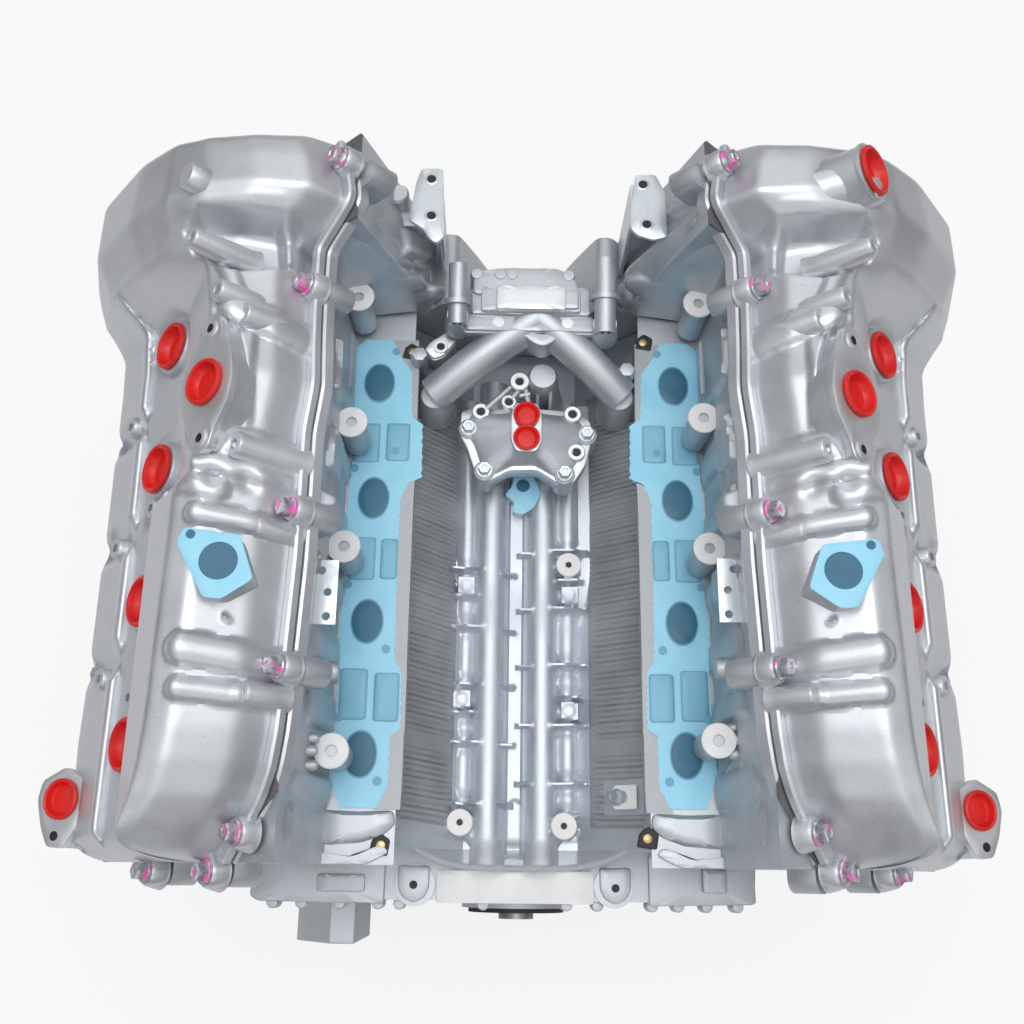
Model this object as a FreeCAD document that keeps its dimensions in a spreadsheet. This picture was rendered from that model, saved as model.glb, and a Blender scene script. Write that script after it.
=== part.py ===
# Complete V8 engine, long block with its covers and shipping plugs, without ancillaries.
# Millimetres. X runs across the banks, Y along the crankshaft with the chain end at +Y, Z up.
# The origin is on the flat bottom of the oil pan, straight below the middle of the crankshaft.
import FreeCAD, Part
import Sketcher
import math
import os

Vector = FreeCAD.Vector
Rotation = FreeCAD.Rotation
Placement = FreeCAD.Placement

RIGHT = 1
LEFT = -1
SIDE_NAMES = {LEFT: "left", RIGHT: "right"}
CYLINDERS = 4

# Driving dimensions
SIZES = {
    "crank_height": 218, "bank_angle": 45, "bore": 92.5, "throw": 46.5, "bore_spacing": 104,
    "bank_stagger": 4, "rod_length": 140, "head_gasket_thick": 1.2,
    "running_fit": 0.05, "seat_fit": 0.02, "cast_gap": 0.3,
    "main_radius": 32.5, "main_width": 26, "pin_radius": 26, "rod_width": 20, "rod_gap": 0.4,
    "web_end_radius": 31, "counterweight_radius": 64, "shell_thick": 2.4, "bulkhead_width": 24,
    "snout_radius": 16, "snout_length": 58, "seal_lip_radius": 22, "rear_flange_radius": 41, "rear_flange_thick": 12,
    "crankcase_radius": 90, "skirt_half_width": 118, "block_half_length": 224, "bank_wall": 62,
    "bank_root": 118, "bore_bottom": 72, "valley_floor": 135, "gallery_radius": 13, "gallery_left": 28,
    "gallery_right": 17,
    "oil_way_radius": 8, "bedplate_height": 72, "pan_rail_thick": 9, "pan_wall": 4, "pan_taper": 9,
    "pan_half_length": 209, "drain_radius": 9,
    "piston_clearance": 0.35, "ring_clearance": 0.06, "compression_height": 28.5, "skirt_length": 24,
    "ring_width": 2.5, "wrist_radius": 11, "wrist_length": 60, "wrist_slack": 1.1,
    "rod_end_wall": 10, "small_end_wall": 5, "shank_width": 24, "shank_thick": 13, "shank_web": 5,
    "head_rise": 134, "head_inner": 114, "head_outer": 114, "head_foot_outer": 85, "port_face_height": 216,
    "port_face_in": 97, "port_face_out": 150, "port_x": 124, "port_radius": 19, "port_depth": 8,
    "runner_radius": 15, "runner_length": 50, "throat_radius": 12, "exhaust_radius": 17,
    "valve_radius": 13.5, "valve_inward": 17, "valve_half_pitch": 18, "valve_seat_rise": 9.5,
    "valve_disc": 3, "stem_radius": 3, "stem_length": 79, "retainer_radius": 4.5,
    "head_wall": 8, "well_rise": 52, "well_radius": 17, "well_wall": 5, "cap_flange": 3,
    "chamber_radius": 40, "chamber_depth": 11, "cover_seam": 2.4, "cover_wall": 5, "cover_roof_rise": 45,
    "box_rise": 82, "bulge_rise": 105, "box_end": 4, "slope_start": 22, "climb_start": 180, "climb_end": 208,
    "bulge_inner": 162, "bulge_outer": 146, "corner_cut": 50, "tower_radius": 7.5, "tower_hole": 3.5,
    "chain_start": 226, "chain_end": 300, "case_wall": 7,
    "cam_rise": 111, "cam_offset": 56, "cam_radius": 13, "cam_base": 17, "cam_lift": 9,
    "cam_journal": 15, "lobe_width": 14, "lobe_pair": 19, "cam_sprocket_radius": 46, "sprocket_width": 7,
    "idler_distance": 165, "crank_sprocket_radius": 44, "crank_teeth": 24, "cam_teeth": 24,
    "idler_large_teeth": 32, "idler_small_teeth": 16, "tooth_tip": 2, "tooth_depth": 3,
    "idler_pin_radius": 12, "nose_radius": 8, "chain_thick": 5, "primary_chain_y": 244, "cam_chain_y": 262,
    "head_front": 237, "case_top": 236, "ear_radius": 10, "ear_height": 14, "bolt_head": 6,
    "pump_x": 208, "pump_y": -47, "pump_height": 375, "pump_bore": 11, "oval_x": 230, "oval_y": 83,
    "oval_height": 373, "oval_bore": 15, "oval_tilt": 35, "oval_reach": 42, "oval_depth": 26,
    "neck_inward": 96, "neck_y": 258, "neck_rise": 103, "neck_radius": 21, "neck_wall": 4,
    "outlet_offset": 104, "outlet_y": -192, "outlet_rise": 36, "outlet_bore": 17, "stand_off_x": 141,
    "stand_off_top": 268, "bracket_top": 320, "connector_radius": 12, "pipe_radius": 13,
    "front_cover_thick": 40, "front_top": 112, "seal_radius": 44, "plug_wall": 2.2,
    "crossover_height": 262, "crossover_half_width": 64, "crossover_start": 188, "crossover_end": 250,
    "cooler_height": 205, "washer_radius": 13, "washer_thick": 2.5, "stand_off_radius": 11,
}

doc = FreeCAD.newDocument("V8Engine")
sheet = doc.addObject("Spreadsheet::Sheet", "Size")
nodes = []


# A size with its number and its text, so that sums of sizes stay bound to the sheet
class Dim:
    def __init__(self, value, text):
        self.value = float(value)
        self.text = text

    def __float__(self):
        return self.value

    def __int__(self):
        return int(self.value)

    def __add__(self, other):
        return Dim(self.value + float(other), f"({self.text} + {text_of(other)})")

    def __sub__(self, other):
        return Dim(self.value - float(other), f"({self.text} - {text_of(other)})")

    def __mul__(self, other):
        return Dim(self.value * float(other), f"({self.text} * {text_of(other)})")

    def __truediv__(self, other):
        return Dim(self.value / float(other), f"({self.text} / {text_of(other)})")

    def __radd__(self, other):
        return as_dim(other) + self

    def __rsub__(self, other):
        return as_dim(other) - self

    def __rmul__(self, other):
        return as_dim(other) * self

    def __neg__(self):
        return Dim(-self.value, f"(-{self.text})")


def text_of(value):
    return value.text if isinstance(value, Dim) else f"({value:.6f})"


def as_dim(value):
    return value if isinstance(value, Dim) else Dim(value, text_of(value))


def cosine(angle):
    angle = as_dim(angle)
    return Dim(math.cos(math.radians(angle.value)), f"cos({angle.text} * 1 deg)")


def sine(angle):
    angle = as_dim(angle)
    return Dim(math.sin(math.radians(angle.value)), f"sin({angle.text} * 1 deg)")


def root(value):
    return Dim(math.sqrt(value.value), f"sqrt({value.text})")


# The sheet's rows, read back as named sizes
class Sizes:
    pass


S = Sizes()
for row, (alias, number) in enumerate(SIZES.items(), start=1):
    sheet.set(f"A{row}", alias)
    sheet.set(f"B{row}", str(number))
    sheet.setAlias(f"B{row}", alias)
    setattr(S, alias, Dim(number, f"Size.{alias}"))
doc.recompute()
S.deck_height = S.throw + S.rod_length + S.compression_height
S.head_top = S.deck_height + S.head_rise
S.cam_height = S.deck_height + S.cam_rise
S.well_top = S.head_top + S.well_rise
S.seam = S.head_top + S.cover_seam

CYLINDER_Y = [S.bore_spacing * (1.5 - row) for row in range(CYLINDERS)]
MAIN_Y = [S.bore_spacing * (2 - row) for row in range(CYLINDERS + 1)]
PIN_ANGLES = [0, 90, 270, 180]


def bind(thing, **sizes):
    for name, value in sizes.items():
        setattr(thing, name, float(value))
        thing.setExpression(name, as_dim(value).text)


def place(thing, x=0, y=0, z=0, turn=None):
    thing.Placement = Placement(Vector(float(x), float(y), float(z)), turn or Rotation())
    for axis, value in (("x", x), ("y", y), ("z", z)):
        if isinstance(value, Dim):
            thing.setExpression(f"Placement.Base.{axis}", value.text)
    return thing


ALONG_X = Rotation(Vector(0, 1, 0), 90)
ALONG_Y = Rotation(Vector(1, 0, 0), -90)
ALONG_Z = Rotation()


def rod(name, radius, length, x=0, y=0, z=0, turn=ALONG_Z):
    cylinder = doc.addObject("Part::Cylinder", name)
    bind(cylinder, Radius=radius, Height=length)
    return place(cylinder, x, y, z, turn)


def cone(name, radius1, radius2, length, x=0, y=0, z=0, turn=ALONG_Z):
    thing = doc.addObject("Part::Cone", name)
    bind(thing, Radius1=radius1, Radius2=radius2, Height=length)
    return place(thing, x, y, z, turn)


def box(name, x1, x2, y1, y2, z1, z2):
    block = doc.addObject("Part::Box", name)
    bind(block, Length=x2 - x1, Width=y2 - y1, Height=z2 - z1)
    return place(block, x1, y1, z1)


# Adds a closed outline of straight sides to a sketch, each corner bound to the sheet
def draw_outline(sketch, corners):
    first = sketch.GeometryCount
    spots = [Vector(float(across), float(along), 0) for across, along in corners]
    count = len(spots)
    for index in range(count):
        sketch.addGeometry(Part.LineSegment(spots[index], spots[(index + 1) % count]))
    for index, corner in enumerate(corners):
        line = first + index
        sketch.addConstraint(Sketcher.Constraint("Coincident", line, 2, first + (index + 1) % count, 1))
        for kind, value in zip(("DistanceX", "DistanceY"), corner):
            number = sketch.addConstraint(Sketcher.Constraint(kind, -1, 1, line, 1, float(value)))
            if isinstance(value, Dim):
                sketch.setExpression(f"Constraints[{number}]", value.text)


def draw_circle(sketch, across, along, radius):
    circle = Part.Circle(Vector(float(across), float(along), 0), Vector(0, 0, 1), float(radius))
    line = sketch.addGeometry(circle)
    for kind, value in (("DistanceX", across), ("DistanceY", along)):
        number = sketch.addConstraint(Sketcher.Constraint(kind, -1, 1, line, 3, float(value)))
        if isinstance(value, Dim):
            sketch.setExpression(f"Constraints[{number}]", value.text)
    number = sketch.addConstraint(Sketcher.Constraint("Radius", line, float(radius)))
    if isinstance(radius, Dim):
        sketch.setExpression(f"Constraints[{number}]", radius.text)


PLANES = {
    "XY": (Rotation(), Vector(0, 0, 1), "z"),
    "XZ": (Rotation(Vector(1, 0, 0), 90), Vector(0, 1, 0), "y"),
    "YZ": (Rotation(Vector(1, 1, 1), 120), Vector(1, 0, 0), "x"),
}


# A straight bar of the given outlines and holes, from start along the plane's normal
def prism(name, plane, start, length, outlines, holes=()):
    turn, direction, axis = PLANES[plane]
    sketch = doc.addObject("Sketcher::SketchObject", name + "Sketch")
    place(sketch, turn=turn, **{axis: start})
    for corners in outlines:
        draw_outline(sketch, corners)
    for across, along, radius in holes:
        draw_circle(sketch, across, along, radius)
    bar = doc.addObject("Part::Extrusion", name)
    bar.Base = sketch
    bar.DirMode = "Custom"
    bar.Dir = direction
    bar.Solid = True
    bind(bar, LengthFwd=length)
    return bar


# A bar whose outline changes in straight lines between places along the crankshaft
def lofted(name, stations):
    sections = []
    for index, (start, corners) in enumerate(stations):
        sketch = doc.addObject("Sketcher::SketchObject", f"{name}Section{index}")
        place(sketch, turn=PLANES["XZ"][0], y=start)
        draw_outline(sketch, corners)
        sections.append(sketch)
    solid = doc.addObject("Part::Loft", name)
    solid.Sections = sections
    solid.Solid = True
    solid.Ruled = True
    return solid


# A turned solid: its half outline, radius and height, goes once round the Z axis
def turned(name, corners, x=0, y=0, z=0, turn=ALONG_Z):
    sketch = doc.addObject("Sketcher::SketchObject", name + "Sketch")
    place(sketch, turn=PLANES["XZ"][0])
    draw_outline(sketch, corners)
    solid = doc.addObject("Part::Revolution", name)
    solid.Source = sketch
    solid.Axis = Vector(0, 0, 1)
    solid.Angle = 360
    solid.Solid = True
    return place(solid, x, y, z, turn)


def join(name, pieces):
    fused = doc.addObject("Part::MultiFuse", name)
    fused.Shapes = pieces
    fused.Refine = True
    return fused


def cut(name, base, tools):
    tool = tools[0] if len(tools) == 1 else join(name + "Tools", tools)
    carved = doc.addObject("Part::Cut", name)
    carved.Base = base
    carved.Tool = tool
    carved.Refine = True
    return carved


def keep_inside(name, base, limit):
    shared = doc.addObject("Part::Common", name)
    shared.Base = base
    shared.Tool = limit
    shared.Refine = True
    return shared


# Several separate solids that share one node
def group(name, pieces):
    compound = doc.addObject("Part::Compound", name)
    compound.Links = pieces
    return compound


# Names a finished sub-part and places it from the crankshaft's axis
def finish(thing, label, x=0, y=0, z=0, turn=None):
    thing.Label = label
    place(thing, x, y, S.crank_height + z, turn)
    nodes.append(thing)
    return thing


# A bank's own frame: Z runs out along the bores, and inboard lies on the valley's side
def bank_turn(side):
    return Rotation(Vector(0, 1, 0), side * float(S.bank_angle))


def finish_in_bank(thing, label, side):
    return finish(thing, label, turn=bank_turn(side))


def inboard(side, distance):
    return -side * as_dim(distance)


# A bank point, height along the bores and distance inboard, as X and Z across the engine
def across(side, height, inward):
    x = side * ((height - inward) * sine(S.bank_angle))
    z = (height + inward) * cosine(S.bank_angle)
    return x, z


def bore_y(side, row):
    return CYLINDER_Y[row] + side * S.bank_stagger


def rod_y(side, row):
    return CYLINDER_Y[row] + side * (S.rod_width + S.rod_gap) / 2


def bank_outline(side, points):
    return [(inboard(side, inward), height) for inward, height in points]


# Crank geometry at rest: the piston's distance and the rod's lean for a cylinder
def crank_state(side, row):
    lead = PIN_ANGLES[row] - side * S.bank_angle
    offset = S.throw * sine(lead)
    reach = root(S.rod_length * S.rod_length - offset * offset)
    distance = S.throw * cosine(lead) + reach
    lean = math.degrees(math.asin(offset.value / S.rod_length.value))
    return distance, lean


def make_block():
    half = [(S.skirt_half_width, as_dim(0)), across(RIGHT, S.bank_root, -S.bank_wall),
            across(RIGHT, S.deck_height, -S.bank_wall), across(RIGHT, S.deck_height, S.bank_wall)]
    floor_x = across(RIGHT, S.deck_height, S.bank_wall)[0] - (
        across(RIGHT, S.deck_height, S.bank_wall)[1] - S.valley_floor)
    half.append((floor_x, S.valley_floor))
    mirrored = [(-x, z) for x, z in reversed(half)]
    body = prism("BlockBody", "XZ", -S.block_half_length, 2 * S.block_half_length, [half + mirrored])
    tubes = [rod(f"BlockGallery{index}", S.gallery_radius, 2 * S.block_half_length - 40, tube_x,
                 8 - S.block_half_length, S.valley_floor, ALONG_Y)
             for index, tube_x in enumerate((-S.gallery_left, S.gallery_right))]
    platform = hull_plate("BlockPlatform", "XY", S.valley_floor - 4, S.gallery_radius + 4,
                          [(-44, 18, 12), (44, 18, 12), (46, 150, 14), (-46, 150, 14)])
    solid = join("BlockSolid", [body, platform] + tubes)
    tools = [rod("BlockMainBore", S.main_radius + S.shell_thick + S.seat_fit, 2 * S.block_half_length + 2,
                 0, -S.block_half_length - 1, 0, ALONG_Y)]
    tools.append(rod("BlockOilWay", S.oil_way_radius, 2 * S.block_half_length + 2, 0,
                     -S.block_half_length - 1, S.valley_floor - 22, ALONG_Y))
    for row in range(CYLINDERS):
        tools.append(rod(f"BlockBay{row}", S.crankcase_radius, S.bore_spacing - S.bulkhead_width, 0,
                         CYLINDER_Y[row] - (S.bore_spacing - S.bulkhead_width) / 2, 0, ALONG_Y))
        for side in (LEFT, RIGHT):
            x, z = across(side, S.bore_bottom, 0)
            tools.append(rod(f"BlockBore{SIDE_NAMES[side]}{row}", S.bore / 2,
                             S.deck_height - S.bore_bottom + 1, x, bore_y(side, row), z, bank_turn(side)))
    finish(cut("Block", solid, tools), "cylinder_block")


def make_bedplate():
    body = prism("BedplateBody", "XZ", -S.block_half_length, 2 * S.block_half_length,
                 [[(-S.skirt_half_width, -S.bedplate_height), (S.skirt_half_width, -S.bedplate_height),
                   (S.skirt_half_width, as_dim(0)), (-S.skirt_half_width, as_dim(0))]])
    tools = [rod("BedplateMainBore", S.main_radius + S.shell_thick + S.seat_fit,
                 2 * S.block_half_length + 2, 0, -S.block_half_length - 1, 0, ALONG_Y)]
    for row in range(CYLINDERS):
        tools.append(rod(f"BedplateBay{row}", S.crankcase_radius, S.bore_spacing - S.bulkhead_width, 0,
                         CYLINDER_Y[row] - (S.bore_spacing - S.bulkhead_width) / 2, 0, ALONG_Y))
    finish(cut("Bedplate", body, tools), "bedplate")


def make_main_bearings():
    shells = []
    for row, main_y in enumerate(MAIN_Y):
        width = S.bulkhead_width - 2
        outer = rod(f"ShellOuter{row}", S.main_radius + S.shell_thick, width, 0, main_y - width / 2, 0,
                    ALONG_Y)
        inner = rod(f"ShellInner{row}", S.main_radius + S.running_fit, width + 2, 0,
                    main_y - width / 2 - 1, 0, ALONG_Y)
        ring = cut(f"ShellRing{row}", outer, [inner])
        reach = S.main_radius + 10
        lower = box(f"ShellSplit{row}", -reach, reach, main_y - width, main_y + width, -reach, as_dim(0))
        shells.append(keep_inside(f"ShellLower{row}", ring, lower))
        shells.append(cut(f"ShellUpper{row}", ring, [lower]))
    finish(group("MainBearings", shells), "main_bearing_shells")


def make_oil_pan():
    pan_depth = S.crank_height - S.bedplate_height
    body = doc.addObject("PartDesign::Body", "PanBody")
    plane = [item for item in body.Origin.OriginFeatures if item.Role == "XY_Plane"][0]
    sketch = body.newObject("Sketcher::SketchObject", "PanSketch")
    sketch.AttachmentSupport = [(plane, "")]
    sketch.MapMode = "FlatFace"
    inset = S.skirt_half_width - 14
    draw_outline(sketch, [(-inset, -S.pan_half_length), (inset, -S.pan_half_length),
                          (inset, S.pan_half_length), (-inset, S.pan_half_length)])
    pad = body.newObject("PartDesign::Pad", "PanDepth")
    pad.Profile = sketch
    pad.Reversed = True
    bind(pad, Length=pan_depth)
    pad.TaperAngle = -float(S.pan_taper)
    pad.setExpression("TaperAngle", (-S.pan_taper).text)
    doc.recompute()
    corners = [f"Edge{number}" for number, edge in enumerate(pad.Shape.Edges, start=1)
               if abs(edge.Vertexes[0].Z - edge.Vertexes[-1].Z) > 10]
    rounding = body.newObject("PartDesign::Fillet", "PanCorners")
    rounding.Base = (pad, corners)
    rounding.Radius = 26
    doc.recompute()
    top = [f"Face{number}" for number, face in enumerate(rounding.Shape.Faces, start=1)
           if face.CenterOfMass.z > -0.01]
    shell = body.newObject("PartDesign::Thickness", "PanWall")
    shell.Base = (rounding, top)
    bind(shell, Value=S.pan_wall)
    shell.Reversed = True
    body.Tip = shell
    doc.recompute()
    rail = prism("PanRail", "XY", -S.pan_rail_thick, S.pan_rail_thick,
                 [[(-S.skirt_half_width, -S.block_half_length), (S.skirt_half_width, -S.block_half_length),
                   (S.skirt_half_width, S.block_half_length), (-S.skirt_half_width, S.block_half_length)],
                  [(-inset + S.pan_wall, -S.pan_half_length + S.pan_wall),
                   (inset - S.pan_wall, -S.pan_half_length + S.pan_wall),
                   (inset - S.pan_wall, S.pan_half_length - S.pan_wall),
                   (-inset + S.pan_wall, S.pan_half_length - S.pan_wall)]])
    pan = join("PanSolid", [body, rail])
    hole = rod("PanDrainHole", S.drain_radius, 60, 0, -S.pan_half_length - 5, 30 - pan_depth, ALONG_Y)
    finish(cut("Pan", pan, [hole]), "oil_pan", z=-S.bedplate_height)


def make_crankshaft():
    pieces = []
    for row, main_y in enumerate(MAIN_Y):
        pieces.append(rod(f"CrankMain{row}", S.main_radius, S.main_width, 0, main_y - S.main_width / 2, 0,
                          ALONG_Y))
    pieces.append(rod("CrankSnout", S.snout_radius, S.snout_length + 30, 0,
                      -S.block_half_length - S.snout_length, 0, ALONG_Y))
    pieces.append(rod("CrankTail", S.main_radius, S.chain_end - S.block_half_length + 30, 0,
                      S.block_half_length - 20, 0, ALONG_Y))
    pieces.append(rod("CrankFlange", S.rear_flange_radius, S.rear_flange_thick, 0, S.chain_end, 0, ALONG_Y))
    pin_length = 2 * S.rod_width + 3 * S.rod_gap
    web_thick = (S.bore_spacing - S.main_width - pin_length) / 2
    for row in range(CYLINDERS):
        angle = math.radians(PIN_ANGLES[row])
        x = math.sin(angle) * S.throw
        z = math.cos(angle) * S.throw
        centre = CYLINDER_Y[row]
        pieces.append(rod(f"CrankPin{row}", S.pin_radius, pin_length + 2, x, centre - pin_length / 2 - 1, z,
                          ALONG_Y))
        for end in (-1, 1):
            middle = centre + end * (pin_length + web_thick) / 2
            pieces.append(make_web(f"CrankWeb{row}{'AB'[end > 0]}", PIN_ANGLES[row],
                                   middle - web_thick / 2, web_thick))
    crank = join("CrankSolid", pieces)
    bolt_circle = [rod(f"CrankBolt{index}", 5, 40, 29 * math.sin(math.radians(60 * index)),
                       S.chain_end - 15, 29 * math.cos(math.radians(60 * index)), ALONG_Y)
                   for index in range(6)]
    nose_hole = rod("CrankNoseHole", 8, 50, 0, -S.block_half_length - S.snout_length - 1, 0, ALONG_Y)
    finish(cut("Crank", crank, bolt_circle + [nose_hole]), "crankshaft")


# A crank web: round the pin at one end, a counterweight sector opposite, tangent sides between
def make_web(name, angle, start, thick):
    half = math.radians(62)
    heavy = float(S.counterweight_radius)
    light = float(S.web_end_radius)
    throw = float(S.throw)
    waist = 36
    sector = Part.Arc(Vector(-heavy * math.sin(half), 0, -heavy * math.cos(half)), Vector(0, 0, -heavy),
                      Vector(heavy * math.sin(half), 0, -heavy * math.cos(half)))
    tip = Part.Arc(Vector(light, 0, throw), Vector(0, 0, throw + light), Vector(-light, 0, throw))
    right = [sector.EndPoint, Vector(waist, 0, -8), tip.StartPoint]
    left = [tip.EndPoint, Vector(-waist, 0, -8), sector.StartPoint]
    sides = [Part.makeLine(a, b) for run in (right, left) for a, b in zip(run, run[1:])]
    wire = Part.Wire([sector.toShape(), sides[0], sides[1], tip.toShape(), sides[2], sides[3]])
    web = doc.addObject("Part::Feature", name)
    web.Shape = Part.Face(wire).extrude(Vector(0, float(thick), 0))
    return place(web, 0, start, 0, Rotation(Vector(0, 1, 0), angle))


def make_rod(side, row):
    name = f"Rod{SIDE_NAMES[side]}{row}"
    half = S.rod_width / 2
    eye = S.pin_radius + S.running_fit
    big = rod(name + "Big", eye + S.rod_end_wall, S.rod_width, 0, -half, 0, ALONG_Y)
    small_outer = S.wrist_radius + S.wrist_slack + S.small_end_wall
    shift = bore_y(side, row) - rod_y(side, row)
    small = rod(name + "Small", small_outer, S.rod_width, 0, shift - half, S.rod_length, ALONG_Y)
    shank_start = -half if side == RIGHT else half - S.shank_thick
    low = eye + S.rod_end_wall - 6
    high = S.rod_length - small_outer + 5
    shank = prism(name + "Shank", "XZ", shank_start, S.shank_thick,
                  [[(-S.shank_width / 2 - 4, low), (S.shank_width / 2 + 4, low), (S.shank_width / 2 - 3, high),
                    (3 - S.shank_width / 2, high)]])
    solid = join(name + "Solid", [big, small, shank])
    tools = [rod(name + "Eye", eye, S.rod_width + 2, 0, -half - 1, 0, ALONG_Y),
             rod(name + "WristEye", S.wrist_radius + S.wrist_slack, S.rod_width + 2, 0, shift - half - 1,
                 S.rod_length, ALONG_Y)]
    whole = cut(name + "Whole", solid, tools)
    reach = eye + S.rod_end_wall + 2
    under = box(name + "Under", -reach, reach, -half - 1, half + 1, -reach, as_dim(0))
    cap = keep_inside(name + "Cap", whole, under)
    beam = cut(name + "Beam", whole, [under])
    node = group(name, [beam, cap])
    angle = math.radians(PIN_ANGLES[row])
    lean = crank_state(side, row)[1]
    turn = Rotation(Vector(0, 1, 0), side * float(S.bank_angle) - lean)
    finish(node, f"connecting_rod_{SIDE_NAMES[side]}_{row + 1}", math.sin(angle) * S.throw,
           rod_y(side, row), math.cos(angle) * S.throw, turn)


def make_piston(side, row):
    name = f"Piston{SIDE_NAMES[side]}{row}"
    skirt = S.bore / 2 - S.piston_clearance
    ring = S.bore / 2 - S.ring_clearance
    crown = S.compression_height
    outline = [(as_dim(0), crown), (skirt, crown), (skirt, crown - 5), (ring, crown - 5),
               (ring, crown - 5 - S.ring_width), (skirt, crown - 5 - S.ring_width), (skirt, crown - 11),
               (ring, crown - 11), (ring, crown - 11 - S.ring_width), (skirt, crown - 11 - S.ring_width),
               (skirt, -S.skirt_length), (skirt - 6, -S.skirt_length), (skirt - 6, crown - 16),
               (as_dim(0), crown - 16)]
    body = turned(name + "Body", outline)
    bosses = rod(name + "Boss", S.wrist_radius + 6, S.wrist_length, 0, -S.wrist_length / 2, 0, ALONG_Y)
    limit = rod(name + "Limit", skirt - 2, 60, 0, 0, -30)
    solid = join(name + "Solid", [body, keep_inside(name + "Bosses", bosses, limit)])
    gap = S.rod_width / 2 + 1.5
    tools = [box(name + "Gap", -S.wrist_radius - 7, S.wrist_radius + 7, -gap, gap, -S.skirt_length - 1,
                 crown - 10),
             rod(name + "PinHole", S.wrist_radius + S.seat_fit, S.bore, 0, -S.bore / 2, 0, ALONG_Y)]
    for sign in (-1, 1):
        tools.append(box(f"{name}Side{'AB'[sign > 0]}", -S.bore, S.bore, as_dim(32 if sign > 0 else -60),
                         as_dim(60 if sign > 0 else -32), -S.skirt_length - 1, as_dim(-13)))
    piston = cut(name + "Cut", solid, tools)
    pin = rod(name + "Pin", S.wrist_radius, S.wrist_length + 10, 0, -S.wrist_length / 2 - 5, 0, ALONG_Y)
    distance = crank_state(side, row)[0]
    x, z = across(side, distance, 0)
    finish(group(name, [piston, pin]), f"piston_{SIDE_NAMES[side]}_{row + 1}", x, bore_y(side, row), z,
           bank_turn(side))


def make_head_gasket(side):
    name = f"HeadGasket{SIDE_NAMES[side]}"
    corners = bank_outline(side, [(-S.bank_wall, -S.block_half_length), (S.bank_wall, -S.block_half_length),
                                  (S.bank_wall, S.block_half_length), (-S.bank_wall, S.block_half_length)])
    holes = [(0, bore_y(side, row), S.bore / 2 + 1) for row in range(CYLINDERS)]
    sheet_metal = prism(name, "XY", S.deck_height, S.head_gasket_thick, [corners], holes)
    finish_in_bank(sheet_metal, f"head_gasket_{SIDE_NAMES[side]}", side)


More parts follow.
